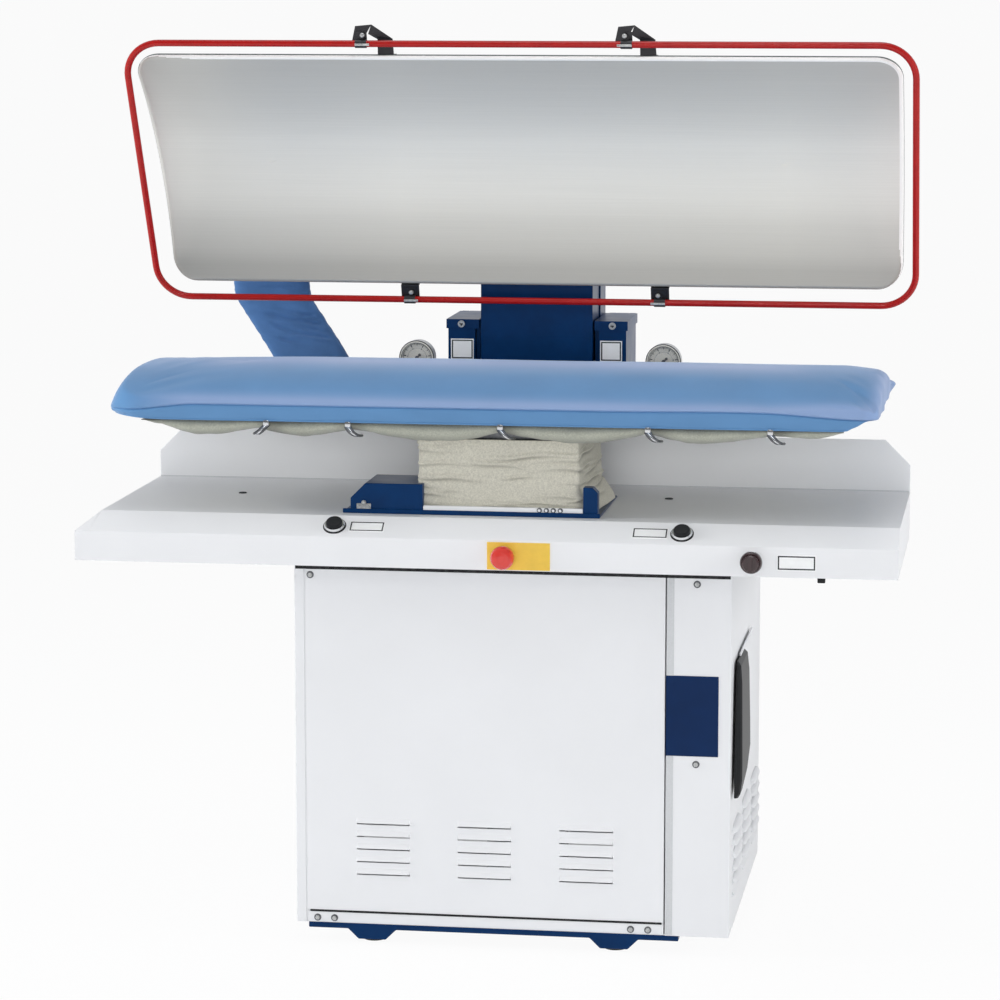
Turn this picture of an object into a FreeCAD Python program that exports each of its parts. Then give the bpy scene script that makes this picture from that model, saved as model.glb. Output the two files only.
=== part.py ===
# Utility laundry press: a heated head on a swinging arm closes on a padded buck over a cabinet table.
import FreeCAD, Part
import Sketcher
import math
import operator
import os
from FreeCAD import Placement, Rotation, Vector

doc = FreeCAD.newDocument("laundry_press")
dims = doc.addObject("Spreadsheet::Sheet", "dims")

# Driving dimensions in millimetres and degrees. X is measured from the door's middle, Y from the table's
# front face towards the rear, Z from the floor.
DRIVING = {
    # Table pan
    "table_width": 1410, "table_depth": 472, "table_height": 762, "pan_depth": 81,
    "strip_rise": 30, "strip_run": 46, "sheet_gauge": 2, "left_end_inset": 37,
    "splash_height": 93, "splash_corner": 45, "bearer_width": 40,
    # Cabinet
    "cabinet_left_x": -337, "cabinet_width": 758, "cabinet_setback": 80, "cabinet_depth": 625,
    "plinth_height": 35, "door_left_margin": 19, "control_width": 113, "door_lift": 22, "door_seam": 2,
    "door_opening_margin": 26,
    # Louvres
    "louvre_rows": 5, "louvre_columns": 3, "louvre_pitch": 22.5, "louvre_height": 9, "louvre_depth": 5,
    "louvre_slit": 3, "louvre_lift": 91, "door_louvre_length": 93, "door_louvre_spread": 178,
    "side_louvre_length": 125, "side_louvre_spread": 190, "side_louvre_lift": 60, "side_louvre_first": 120,
    # Vent cowl on the right side
    "cowl_front": 40, "cowl_length": 335, "cowl_bottom": 240, "cowl_height": 230, "cowl_proud": 16,
    "cowl_corner": 95, "cowl_rib_pitch": 24, "cowl_rib_slot": 12, "cowl_rim": 14, "cowl_floor": 3,
    # Base
    "base_left_margin": 19, "base_right_margin": 88, "base_rail_depth": 40, "base_rail_height": 12,
    "foot_top_width": 85, "foot_bottom_width": 48, "foot_height": 18, "foot_depth": 60,
    "foot_margin": 70, "pad_radius": 21, "pad_height": 5,
    # Fasteners of the sheet panels
    "screw_head_radius": 5, "screw_head_height": 3, "screw_edge": 9, "screw_pair": 30,
    # Hand controls
    "hole_radius": 11.2, "neck_radius": 10.8, "neck_length": 20, "stem_radius": 8.4, "stem_play": 0.2,
    "bezel_radius": 18, "bezel_height": 6, "cap_radius": 14, "cap_play": 0.4, "cap_height": 7,
    "cap_lift": 5, "left_button_x": -254, "right_button_x": 341,
    "estop_x": 41.6, "estop_rise": 25, "estop_radius": 20, "estop_thickness": 22, "estop_gap": 5.5,
    "estop_collar_radius": 16, "estop_collar_height": 7, "estop_plate_left": 12.5, "estop_plate_width": 107.5,
    "estop_plate_height": 47, "estop_plate_gauge": 1.5, "estop_grip": 10, "turn_play": 0.08,
    "knob_x": 460, "knob_radius": 15, "knob_height": 20, "knob_base_radius": 18.5, "knob_base_height": 5,
    "knob_spindle_radius": 4, "knob_ridge": 6, "running_gap": 0.3,
    # Saddle and pedestal
    "saddle_left_x": -250, "saddle_width": 445, "saddle_front": 75, "saddle_depth": 255, "saddle_gauge": 3,
    "saddle_lip": 8, "saddle_box_width": 126, "saddle_box_depth": 110,
    "saddle_box_height": 52, "saddle_box_inset": 13, "saddle_box_chamfer": 26, "post_width": 25,
    "post_depth": 24, "post_inset": 4, "post_chamfer": 9,
    "press_centre_x": 22.5, "pedestal_centre_x": 29, "pedestal_width": 236, "pedestal_front": 108,
    "pedestal_depth": 180,
    "pedestal_wall": 4, "canvas_thickness": 9, "canvas_wrinkle": 5, "canvas_wrinkles": 4,
    "canvas_flare": 8, "canvas_height": 118, "soft_gap": 1, "duct_radius": 50, "duct_wall": 2,
    # Buck
    "buck_front": 25, "buck_depth": 430, "buck_right_x": 675, "buck_left_x": -667, "buck_left_slant": 28,
    "buck_corner": 55, "buck_nose": 120, "buck_seam_rise": 188, "crown_rise": 48.5, "hem_drop": 28,
    "hem_tuck": 9, "end_roll": 55, "end_drop": 34, "cover_thickness": 4,
    "platen_thickness": 19, "platen_inset": 12,
    "undercloth_inset": 24, "undercloth_sag": 30, "undercloth_pinch": 14,
    "hook_1_x": -374, "hook_2_x": -232, "hook_3_x": 30, "hook_4_x": 281, "hook_5_x": 487,
    "hook_width": 9, "hook_gauge": 1.5, "hook_height": 12, "hook_wire_radius": 2, "hook_wire_drop": 21,
    "hook_wire_run": 13, "hook_foot_reach": 14,
    # Head, drawn closed on the buck
    "head_front": 18.5, "head_depth": 441.5, "head_right_x": 686, "head_left_front_x": -666,
    "head_left_rear_x": -638, "head_corner": 46, "face_gap": 2, "face_rise": 48, "face_thickness": 12,
    "face_rim": 8, "open_angle": 70, "pivot_rise": 69.5, "pivot_reach": 130,
    "chamber_margin_x": 80, "chamber_margin_y": 62, "chamber_height": 30,
    "hood_margin": 10, "hood_front_margin": 30, "hood_height": 98, "hood_slope": 12, "hood_end_margin": 34,
    # Arm, shaft and column
    "arm_width": 205, "hub_radius": 61.5, "arm_length": 330, "arm_thickness": 46, "arm_wall": 10,
    "arm_back_height": 64, "lever_radius": 75, "lever_width": 24, "lever_pin_radius": 10,
    "lever_pin_length": 62, "lever_eye_radius": 18, "lever_half_height": 13,
    "hub_waist_radius": 33, "hub_waist_width": 68, "shaft_radius": 20, "shaft_play": 0.05,
    "bush_radius": 24, "bush_flange_radius": 28, "bush_flange": 4,
    "cheek_gap": 3, "cheek_thickness": 8, "cheek_front": 12, "cheek_rear_gap": 5,
    "box_width": 50, "box_depth": 155, "box_front": 533, "lid_top_rise": 32.5, "lid_skirt": 17,
    "lid_overhang": 3, "lid_play": 0.5, "knuckle_radius": 4, "knuckle_length": 12,
    "hinge_pin_radius": 2, "lock_radius": 6.5, "lock_height": 3, "lock_spindle_radius": 3,
    "lock_drop": 8.5, "column_cover_depth": 62, "column_cover_rise": 98,
    # Press cylinder
    "barrel_radius": 36, "barrel_foot": 12, "rod_radius": 9,
    "rod_length": 128, "yoke_plate": 10, "yoke_gap": 6, "yoke_play": 2.2, "yoke_rise": 22, "yoke_drop": 38,
    "yoke_depth": 64, "yoke_base": 16, "yoke_slot": 44,
    # Safety bar
    "bar_radius": 6, "bar_reach": 26, "bar_drop": 6, "bar_corner": 62, "bar_right_x": 709,
    "bar_left_front_x": -687, "bar_left_rear_x": -667,
    "bracket_gauge": 3, "bracket_width": 66, "bracket_reach": 34, "bracket_leg_width": 45,
    "bracket_leg_height": 44, "bracket_chamfer": 26, "front_bracket_1_x": -238, "front_bracket_2_x": 230,
    "rear_bracket_1_x": -203, "rear_bracket_2_x": 252, "rear_bracket_width": 33, "rear_bracket_rise": 26,
    "clip_width": 20, "clip_gauge": 1.6, "clip_tail": 13, "clip_screw_radius": 4.5, "clip_screw_height": 3.5,
    # Gauges
    "gauge_radius": 31.5, "gauge_depth": 30, "gauge_rim": 3, "gauge_recess": 7, "gauge_left_x": -199.5,
    "gauge_right_x": 254, "gauge_y": 545, "gauge_drop": 40, "gauge_stem_radius": 7,
    "gauge_flange_radius": 18, "gauge_flange": 6, "needle_length": 21, "needle_tail": 8, "needle_width": 4,
    "needle_gauge": 1, "needle_hub_radius": 3.5, "needle_pin_radius": 1.5, "needle_zero_angle": -135,
    # Hose sheath
    "sheath_width": 152, "sheath_thickness": 38, "sheath_fold": 7, "sheath_top_x": -464,
    "sheath_mid_x": -400, "sheath_low_x": -254, "sheath_mid_y": 590,
    "sheath_low_y": 640, "sheath_top_rise": 118, "sheath_mid_drop": 44, "collar_height": 14,
    "collar_wall": 4,
    # Vacuum fan
    "fan_drop": 300, "fan_y": 285, "fan_radius": 135, "fan_thickness": 92, "fan_wall": 3,
    "fan_outlet_reach": 200, "fan_outlet_height": 110, "impeller_radius": 108, "impeller_blades": 9,
    "blade_gauge": 3, "blade_height": 46, "impeller_hub_radius": 24, "impeller_plate": 4, "motor_radius": 68,
    "motor_length": 165, "motor_shaft_radius": 9, "motor_foot_width": 120, "exhaust_radius": 50,
    "exhaust_wall": 2, "exhaust_stub": 40, "exhaust_pipe_radius": 47,
    # Services
    "manifold_radius": 21, "manifold_drop": 70, "manifold_rear_gap": 45, "manifold_left_x": -290,
    "manifold_length": 560, "port_radius": 10.65, "port_pipe_radius": 9.5, "port_bore": 7.5,
    "port_stub": 36, "steam_port_x": 215,
    "condensate_port_x": -235,
    # Frame of the finished part: the middle of its floor outline
    "origin_x": 5, "origin_y": 352,
}
for row, (alias, number) in enumerate(DRIVING.items(), start=1):
    dims.set(f"A{row}", alias.replace("_", " "))
    dims.set(f"B{row}", str(number))
    dims.setAlias(f"B{row}", alias)
doc.recompute()

OPERATIONS = {"+": operator.add, "-": operator.sub, "*": operator.mul, "/": operator.truediv}


class Size:
    """A length or angle that carries its cell formula and its present value."""

    def __init__(self, text, value):
        self.text = text
        self.value = value

    def __float__(self):
        return float(self.value)

    def __neg__(self):
        return combined(0, "-", self)

    def __add__(self, other):
        return combined(self, "+", other)

    def __radd__(self, other):
        return combined(other, "+", self)

    def __sub__(self, other):
        return combined(self, "-", other)

    def __rsub__(self, other):
        return combined(other, "-", self)

    def __mul__(self, other):
        return combined(self, "*", other)

    def __rmul__(self, other):
        return combined(other, "*", self)

    def __truediv__(self, other):
        return combined(self, "/", other)


def sized(thing):
    return thing if isinstance(thing, Size) else Size(repr(thing), thing)


def combined(first, sign, second):
    first, second = sized(first), sized(second)
    value = OPERATIONS[sign](first.value, second.value)
    return Size(f"({first.text} {sign} {second.text})", value)


def cosine(angle):
    return Size(f"cos({angle.text} * 1 deg)", math.cos(math.radians(angle.value)))


def sine(angle):
    return Size(f"sin({angle.text} * 1 deg)", math.sin(math.radians(angle.value)))


class Cells:
    """The sheet's driving dimensions by name."""

    def __getattr__(self, alias):
        return Size("dims." + alias, float(dims.get(alias)))


d = Cells()
nodes = []


def bind(target, prop, size):
    target.setExpression(prop, sized(size).text)


def block(name, x, y, z):
    """A block between pairs of limits along each axis."""
    solid = doc.addObject("Part::Box", name)
    for prop, axis, (low, high) in (("Length", "x", x), ("Width", "y", y), ("Height", "z", z)):
        bind(solid, prop, high - low)
        bind(solid, f"Placement.Base.{axis}", low)
    return solid


TURNS = {"x": Rotation(Vector(0, 1, 0), 90), "y": Rotation(Vector(1, 0, 0), -90), "z": Rotation()}


def bar(name, axis, radius, low, high, across):
    """A round bar along an axis between two limits; across holds its two other coordinates in X, Y, Z order."""
    solid = doc.addObject("Part::Cylinder", name)
    solid.Placement = Placement(Vector(), TURNS[axis])
    bind(solid, "Radius", radius)
    bind(solid, "Height", high - low)
    spots = dict(zip([letter for letter in "xyz" if letter != axis], across))
    spots[axis] = low
    for letter, spot in spots.items():
        bind(solid, f"Placement.Base.{letter}", spot)
    return solid


def cut(name, base, *tools):
    result = doc.addObject("Part::Cut", name)
    result.Base = base
    result.Tool = tools[0] if len(tools) == 1 else fuse(name + "_tools", *tools)
    return result


def fuse(name, *pieces):
    result = doc.addObject("Part::MultiFuse", name)
    result.Shapes = list(pieces)
    return result


def common(name, first, second):
    result = doc.addObject("Part::Common", name)
    result.Base = first
    result.Tool = second
    return result


def origin_feature(body, role):
    return next(feature for feature in body.Origin.OriginFeatures if feature.Role == role)


def closed_outline(sketch, corners):
    """A closed outline of straight sides: a corner (across, up) is sharp, (across, up, radius) is rounded."""
    count = len(corners)
    spots = [Vector(float(sized(c[0])), float(sized(c[1])), 0) for c in corners]
    back = [(spots[i - 1] - spots[i]).normalize() for i in range(count)]
    ahead = [(spots[(i + 1) % count] - spots[i]).normalize() for i in range(count)]
    radii = [float(sized(c[2])) if len(c) > 2 else 0.0 for c in corners]
    half = [back[i].getAngle(ahead[i]) / 2 for i in range(count)]
    reach = [radii[i] / math.tan(half[i]) for i in range(count)]
    arrive = [spots[i] + back[i] * reach[i] for i in range(count)]
    leave = [spots[i] + ahead[i] * reach[i] for i in range(count)]
    sides = [sketch.addGeometry(Part.LineSegment(leave[i], arrive[(i + 1) % count])) for i in range(count)]
    for i, corner in enumerate(corners):
        before, after = sides[i - 1], sides[i]
        if radii[i]:
            middle = (back[i] + ahead[i]).normalize()
            centre = spots[i] + middle * (radii[i] / math.sin(half[i]))
            left_turn = (-back[i]).cross(ahead[i]).z > 0
            first, last = (arrive[i], leave[i]) if left_turn else (leave[i], arrive[i])
            angles = [math.atan2(p.y - centre.y, p.x - centre.x) for p in (first, last)]
            if angles[1] < angles[0]:
                angles[1] += 2 * math.pi
            circle = Part.Circle(centre, Vector(0, 0, 1), radii[i])
            arc = sketch.addGeometry(Part.ArcOfCircle(circle, *angles))
            came, went = (1, 2) if left_turn else (2, 1)
            mark = sketch.addGeometry(Part.Point(spots[i]), True)
            sketch.addConstraint([
                Sketcher.Constraint("Tangent", before, 2, arc, came),
                Sketcher.Constraint("Tangent", arc, went, after, 1),
                Sketcher.Constraint("PointOnObject", mark, 1, before),
                Sketcher.Constraint("PointOnObject", mark, 1, after)])
            fix(sketch, Sketcher.Constraint("Radius", arc, radii[i]), corner[2])
        else:
            mark = after
            sketch.addConstraint(Sketcher.Constraint("Coincident", before, 2, after, 1))
        fix(sketch, Sketcher.Constraint("DistanceX", -1, 1, mark, 1, spots[i].x), corner[0])
        fix(sketch, Sketcher.Constraint("DistanceY", -1, 1, mark, 1, spots[i].y), corner[1])


def fix(sketch, constraint, size):
    """Adds a dimension to a sketch and ties it to its formula."""
    index = sketch.addConstraint(constraint)
    sketch.setExpression(f"Constraints[{index}]", sized(size).text)


def feature(body, kind, plane, outlines, low, high):
    """A Pad or Pocket of outlines on one of the body's planes, between two limits along that plane's axis."""
    sketch = body.newObject("Sketcher::SketchObject", body.Name + "_sketch")
    sketch.AttachmentSupport = [(origin_feature(body, plane + "_Plane"), "")]
    sketch.MapMode = "FlatFace"
    # The XZ plane faces -Y, so a level there counts backwards.
    bind(sketch, "AttachmentOffset.Base.z", -sized(high) if plane == "XZ" else low)
    for corners in outlines:
        closed_outline(sketch, corners)
    made = body.newObject("PartDesign::" + kind, body.Name + "_" + kind.lower())
    made.Profile = sketch
    bind(made, "Length", high - low)
    made.Reversed = kind == "Pocket"
    return made


def prism(name, plane, corners, low, high):
    body = doc.addObject("PartDesign::Body", name)
    feature(body, "Pad", plane, [corners], low, high)
    return body


def rectangle(x, y):
    return [(x[0], y[0]), (x[1], y[0]), (x[1], y[1]), (x[0], y[1])]


def solid(name, shape):
    made = doc.addObject("Part::Feature", name)
    made.Shape = shape
    return made


def placed(piece, at, axis, angle):
    """Turns a piece about an axis through the origin and moves it, by formulas."""
    piece.Placement = Placement(Vector(), Rotation(axis, float(sized(angle))))
    bind(piece, "Placement.Rotation.Angle", angle)
    for letter, spot in zip("xyz", at):
        bind(piece, f"Placement.Base.{letter}", spot)
    return piece


def node(label, *pieces, swing=False, at=(0, 0, 0), axis=None, angle=0):
    """Names one sub-part, alone or as a group of separate pieces, and puts it in the finished frame."""
    piece = pieces[0]
    if len(pieces) > 1 or piece.TypeId in ("Part::Box", "Part::Cylinder"):
        piece = doc.addObject("Part::Compound", label)
        piece.Links = list(pieces)
    piece.Label = label
    x, y, z = at
    if swing:
        axis, angle = Vector(-1, 0, 0), d.open_angle
        turned_y = pivot_y * cosine(angle) + pivot_z * sine(angle)
        turned_z = pivot_z * cosine(angle) - pivot_y * sine(angle)
        x, y, z = 0, pivot_y - turned_y, pivot_z - turned_z
    placed(piece, (x - d.origin_x, y - d.origin_y, z), axis or Vector(0, 0, 1), angle)
    nodes.append(piece)
    return piece


# Levels and lines that several pieces share
top = d.table_height
deck = top - d.pan_depth
strip_low = top - d.strip_rise
gauge = d.sheet_gauge
table_left = -d.table_width / 2
table_right = d.table_width / 2
cabinet_left = d.cabinet_left_x
cabinet_right = cabinet_left + d.cabinet_width
cabinet_front = d.cabinet_setback
cabinet_rear = cabinet_front + d.cabinet_depth
plinth = d.plinth_height
lid_of_cabinet = deck - gauge
seam = top + d.buck_seam_rise
hem = seam - d.hem_drop
buck_rear = d.buck_front + d.buck_depth
platen_bottom = hem
platen_top = platen_bottom + d.platen_thickness
head_rear = d.head_front + d.head_depth
rim = seam + d.face_gap
pivot_y = head_rear + d.pivot_reach
pivot_z = rim + d.pivot_rise
centre = d.press_centre_x
lid_top = pivot_z + d.lid_top_rise


# Table pan: a folded sheet tray with a sloping control strip along its front
def pan_blank(name, skin, slope_skin, open_below):
    body = prism(name, "XZ", [
        (table_left + skin, deck - open_below), (table_right - skin, deck - open_below),
        (table_right - skin, top - skin), (table_left + d.left_end_inset + skin, top - skin)],
        0 + skin, d.table_depth - skin)
    over = d.strip_run
    feature(body, "Pocket", "YZ", [[
        (0, strip_low - slope_skin), (d.strip_run, top - slope_skin), (d.strip_run, top + over),
        (-over, top + over), (-over, strip_low - slope_skin)]], table_left - over, table_right + over)
    return body


def strip_hole(name, x):
    """The round hole for a button, square to the sloping strip."""
    hole = doc.addObject("Part::Cylinder", name)
    bind(hole, "Radius", d.hole_radius)
    bind(hole, "Height", d.neck_length * 2)
    hole.Placement = Placement(Vector(), Rotation(Vector(1, 0, 0), 30))
    bind(hole, "Placement.Rotation.Angle", slope)
    bind(hole, "Placement.Base.x", x)
    bind(hole, "Placement.Base.y", d.strip_run / 2 + d.neck_length * sine(slope))
    bind(hole, "Placement.Base.z", strip_low + d.strip_rise / 2 - d.neck_length * cosine(slope))
    return hole


slope_value = math.degrees(math.atan(float(d.strip_rise) / float(d.strip_run)))
slope = Size("(atan(dims.strip_rise / dims.strip_run) / 1 deg)", slope_value)
control_z = deck + d.estop_rise
duct_x, duct_y = d.pedestal_centre_x, d.pedestal_front + d.pedestal_depth / 2
tray = cut("table_tray", pan_blank("tray_outside", 0 * gauge, 0 * gauge, 0 * gauge),
           pan_blank("tray_inside", gauge, gauge / cosine(slope), gauge))
node("table_top", cut(
    "table_top", tray, strip_hole("left_button_hole", d.left_button_x),
    strip_hole("right_button_hole", d.right_button_x),
    bar("estop_hole", "y", d.hole_radius, -gauge, gauge * 2, (d.estop_x, control_z)),
    bar("knob_hole", "y", d.hole_radius, -gauge, gauge * 2, (d.knob_x, control_z)),
    bar("duct_hole", "z", d.duct_radius + d.running_gap, top - gauge * 2, top + gauge, (duct_x, duct_y))))

splash_left = table_left + d.left_end_inset
node("backsplash", prism("backsplash", "XZ", [
    (splash_left, top), (table_right, top), (table_right, top + d.splash_height - d.splash_corner),
    (table_right - d.splash_corner, top + d.splash_height),
    (splash_left + d.splash_corner, top + d.splash_height),
    (splash_left, top + d.splash_height - d.splash_corner)],
    d.table_depth - gauge, d.table_depth))

# Cabinet of sheet panels on a blue base frame
inner_left = cabinet_left + gauge
inner_right = cabinet_right - gauge
inner_front = cabinet_front + gauge
inner_rear = cabinet_rear - gauge
door_left = cabinet_left + d.door_left_margin
door_right = cabinet_right - d.control_width
door_bottom = plinth + d.door_lift


def louvred_panel(name, width, height, face, first_x, first_z, length, spread):
    """A flat panel facing -Y with columns of pressed louvres, each a hood over a slit."""
    body = prism(name, "XZ", rectangle(width, height), face, face + gauge)
    hoods, slits = [], []
    for row in range(int(d.louvre_rows.value)):
        level = first_z + d.louvre_pitch * row
        hoods.append([(face, level), (face, level + d.louvre_height), (face - d.louvre_depth, level)])
        slits.append(rectangle((first_x, first_x + length), (level - d.louvre_slit, level)))
    hood = feature(body, "Pad", "YZ", hoods, first_x, first_x + length)
    slit = feature(body, "Pocket", "XZ", slits, face - gauge, face + gauge * 2)
    columns = body.newObject("PartDesign::LinearPattern", name + "_columns")
    columns.Originals = [hood, slit]
    columns.Direction = (origin_feature(body, "X_Axis"), [""])
    bind(columns, "Length", spread * (d.louvre_columns - 1))
    bind(columns, "Occurrences", d.louvre_columns)
    body.Tip = columns
    return body


door_middle = (door_left + door_right) / 2
node("front_door", louvred_panel(
    "front_door", (door_left, door_right), (door_bottom, lid_of_cabinet), cabinet_front,
    door_middle - d.door_louvre_spread - d.door_louvre_length / 2, plinth + d.louvre_lift,
    d.door_louvre_length, d.door_louvre_spread))

cowl_low_z = plinth + d.cowl_bottom
cowl_y = (cabinet_front + d.cowl_front, cabinet_front + d.cowl_front + d.cowl_length)
cowl_z = (cowl_low_z, cowl_low_z + d.cowl_height)
vent_y = (cowl_y[0] + d.cowl_corner, cowl_y[1] - d.cowl_rim * 2)
vent_z = (cowl_z[0] + d.cowl_rim * 2, cowl_z[1] - d.cowl_rim * 4)
side_panel = louvred_panel(
    "right_side_blank", (inner_front, cabinet_rear), (plinth, lid_of_cabinet), 0 * gauge,
    inner_front + d.side_louvre_first - d.side_louvre_length / 2, plinth + d.side_louvre_lift,
    d.side_louvre_length, d.side_louvre_spread)
node("cabinet_right_side", cut(
    "cabinet_right_side", side_panel,
    block("cowl_vent_hole", vent_y, (-gauge, gauge * 2), vent_z)),
    at=(cabinet_right, 0, 0), axis=Vector(0, 0, 1), angle=90)

# The cowl is drawn like the side panel, facing -Y, and turned with it
cowl_slant = [
    (cowl_y[0], cowl_z[0]), (cowl_y[1], cowl_z[0]), (cowl_y[1], cowl_z[1] - d.cowl_rim * 2),
    (cowl_y[1] - d.cowl_corner * 1.6, cowl_z[1]), (cowl_y[0] + d.cowl_corner, cowl_z[1]),
    (cowl_y[0], cowl_z[1] - d.cowl_corner * 1.6)]
cowl = prism("vent_cowl", "XZ", cowl_slant, -d.cowl_proud, 0 * gauge)
cowl_slots = []
slot_low = cowl_y[0] + d.cowl_rim
slot_count = int((d.cowl_length.value - 2 * d.cowl_rim.value) / d.cowl_rib_pitch.value)
for number in range(slot_count):
    start = slot_low + d.cowl_rib_pitch * number
    # The slot's upper end follows the slanted corner nearest the front
    along = (start - cowl_y[0]) / d.cowl_corner
    drop = d.cowl_corner * 1.6 * (1 - along) if along.value < 1 else 0 * d.cowl_rim
    high = cowl_z[1] - d.cowl_rim * 3 - drop
    cowl_slots.append(rectangle((start, start + d.cowl_rib_slot), (cowl_z[0] + d.cowl_rim, high)))
feature(cowl, "Pocket", "XZ", cowl_slots, -d.cowl_proud * 2, -d.cowl_floor)
feature(cowl, "Pocket", "XZ", [rectangle(vent_y, vent_z)], -d.cowl_floor, gauge)
node("vent_cowl", cowl, at=(cabinet_right, 0, 0), axis=Vector(0, 0, 1), angle=90)

node("cabinet_left_side", fuse(
    "cabinet_left_side",
    block("left_side_sheet", (cabinet_left, inner_left), (cabinet_front, cabinet_rear),
          (plinth, lid_of_cabinet)),
    block("left_side_flange", (inner_left, door_left - d.door_seam), (cabinet_front, inner_front),
          (plinth, lid_of_cabinet))))
node("cabinet_floor", block(
    "floor_sheet", (inner_left, inner_right), (inner_front, inner_rear), (plinth, plinth + gauge)))

services_z = deck - d.manifold_drop
manifold_y = cabinet_rear - d.manifold_rear_gap
fan_z = deck - d.fan_drop
outlet_x = duct_x + d.fan_outlet_reach - d.exhaust_radius
rear_sheet = block("rear_sheet", (inner_left, inner_right), (inner_rear, cabinet_rear),
                   (plinth + gauge, lid_of_cabinet))
through = (inner_rear - gauge, cabinet_rear + gauge)
node("cabinet_rear_panel", cut(
    "cabinet_rear_panel", rear_sheet,
    bar("exhaust_hole", "y", d.exhaust_pipe_radius + d.running_gap, *through, (outlet_x, fan_z)),
    bar("steam_hole", "y", d.port_pipe_radius + d.running_gap, *through, (d.steam_port_x, services_z)),
    bar("condensate_hole", "y", d.port_pipe_radius + d.running_gap, *through,
        (d.condensate_port_x, services_z))))

top_sheet = block("top_sheet", (cabinet_left, cabinet_right), (cabinet_front, cabinet_rear),
                  (lid_of_cabinet, deck))
bearer_x = (inner_left, inner_right)
bearers = [block(f"bearer_{number}", bearer_x, (start, start + d.bearer_width), (deck, top - gauge))
           for number, start in enumerate((cabinet_front + d.bearer_width / 4,
                                           d.table_depth - d.bearer_width * 1.5))]
low_collar_x = (d.sheath_low_x - d.sheath_width / 2 - d.collar_wall,
                d.sheath_low_x + d.sheath_width / 2 + d.collar_wall)
low_collar_y = (d.sheath_low_y - d.sheath_thickness / 2 - d.collar_wall,
                d.sheath_low_y + d.sheath_thickness / 2 + d.collar_wall)


def grown(limits, amount):
    return (limits[0] - amount, limits[1] + amount)


low_collar = cut(
    "low_collar", block("low_collar_outside", low_collar_x, low_collar_y, (deck, deck + d.collar_height)),
    block("low_collar_inside", grown(low_collar_x, -d.collar_wall), grown(low_collar_y, -d.collar_wall),
          (deck + d.collar_wall, deck + d.collar_height + d.collar_wall)))
node("cabinet_top_frame", cut(
    "cabinet_top_frame", fuse("top_frame_blank", top_sheet, *bearers, low_collar),
    bar("top_duct_hole", "z", d.duct_radius + d.running_gap, lid_of_cabinet - gauge, top, (duct_x, duct_y))))

door_hole = (grown((door_left, door_right), -d.door_opening_margin),
             grown((door_bottom, lid_of_cabinet), -d.door_opening_margin))
frame_sheet = prism("front_frame", "XZ", rectangle((inner_left, door_right),
                                                   (plinth + gauge, lid_of_cabinet)),
                    inner_front, inner_front + gauge)
feature(frame_sheet, "Pocket", "XZ", [rectangle(*door_hole)], inner_front - gauge, inner_front + gauge * 2)
feature(frame_sheet, "Pad", "XZ", [rectangle(
    (door_left, door_right), (plinth + gauge, door_bottom - d.door_seam))], cabinet_front, inner_front)
node("front_frame", frame_sheet)
node("control_strip", fuse(
    "control_strip",
    block("control_sheet", (door_right + d.door_seam, cabinet_right), (cabinet_front, inner_front),
          (plinth, lid_of_cabinet)),
    block("control_return", (door_right + d.door_seam, door_right + d.door_seam + gauge),
          (inner_front, inner_front + d.door_opening_margin), (plinth + gauge, lid_of_cabinet))))

screw_low = plinth + d.screw_edge
screw_high = lid_of_cabinet - d.screw_edge * 3
screw_spots = [
    (door_left + d.screw_edge * 2, screw_low), (door_left + d.screw_edge * 2 + d.screw_pair, screw_low),
    (door_right - d.screw_edge * 3, screw_low), (door_right - d.screw_edge * 3 - d.screw_pair, screw_low),
    (door_left + d.screw_edge, screw_high), (door_right + d.screw_edge * 6, screw_high),
    (door_right + d.screw_edge * 6, plinth + d.cowl_bottom + d.bearer_width * 1.6)]
node("panel_screws", *[
    bar(f"screw_{number}", "y", d.screw_head_radius, cabinet_front - d.screw_head_height, cabinet_front, spot)
    for number, spot in enumerate(screw_spots)])

# Blue base frame on four feet with rubber pads
base_x = (cabinet_left + d.base_left_margin, cabinet_right - d.base_right_margin)
rail_z = (plinth - d.base_rail_height, plinth)
foot_x = (base_x[0] + d.foot_margin + d.foot_top_width / 2, base_x[1] - d.foot_margin - d.foot_top_width / 2)
rail_front = cabinet_front + d.screw_edge
rail_rear = cabinet_rear - d.screw_edge
rails = [block("front_rail", base_x, (rail_front, rail_front + d.base_rail_depth), rail_z),
         block("rear_rail", base_x, (rail_rear - d.base_rail_depth, rail_rear), rail_z)]
feet, pads = [], []
for side, middle in zip(("left", "right"), foot_x):
    rails.append(block(f"{side}_rail", (middle - d.base_rail_depth / 2, middle + d.base_rail_depth / 2),
                       (rail_front, rail_rear), rail_z))
    for end, start in (("front", rail_front), ("rear", rail_rear - d.foot_depth)):
        sole = rail_z[0] - d.foot_height
        feet.append(prism(f"{side}_{end}_foot", "XZ", [
            (middle - d.foot_bottom_width / 2, sole), (middle + d.foot_bottom_width / 2, sole),
            (middle + d.foot_top_width / 2, rail_z[0]), (middle - d.foot_top_width / 2, rail_z[0])],
            start, start + d.foot_depth))
        pads.append(bar(f"{side}_{end}_pad", "z", d.pad_radius, sole - d.pad_height, sole,
                        (middle, start + d.foot_depth / 2)))
node("base_frame", fuse("base_frame", *rails, *feet))
node("foot_pads", *pads)


# Hand controls. Each is turned about its own axis, drawn along +Z from the panel's face
def turned(name, outline):
    """A body of revolution about Z from (radius, height) corners."""
    body = doc.addObject("PartDesign::Body", name)
    sketch = body.newObject("Sketcher::SketchObject", name + "_half")
    sketch.AttachmentSupport = [(origin_feature(body, "XZ_Plane"), "")]
    sketch.MapMode = "FlatFace"
    closed_outline(sketch, outline)
    spun = body.newObject("PartDesign::Revolution", name + "_turned")
    spun.Profile = sketch
    spun.ReferenceAxis = (sketch, ["V_Axis"])
    spun.Angle = 360
    return body


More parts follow.
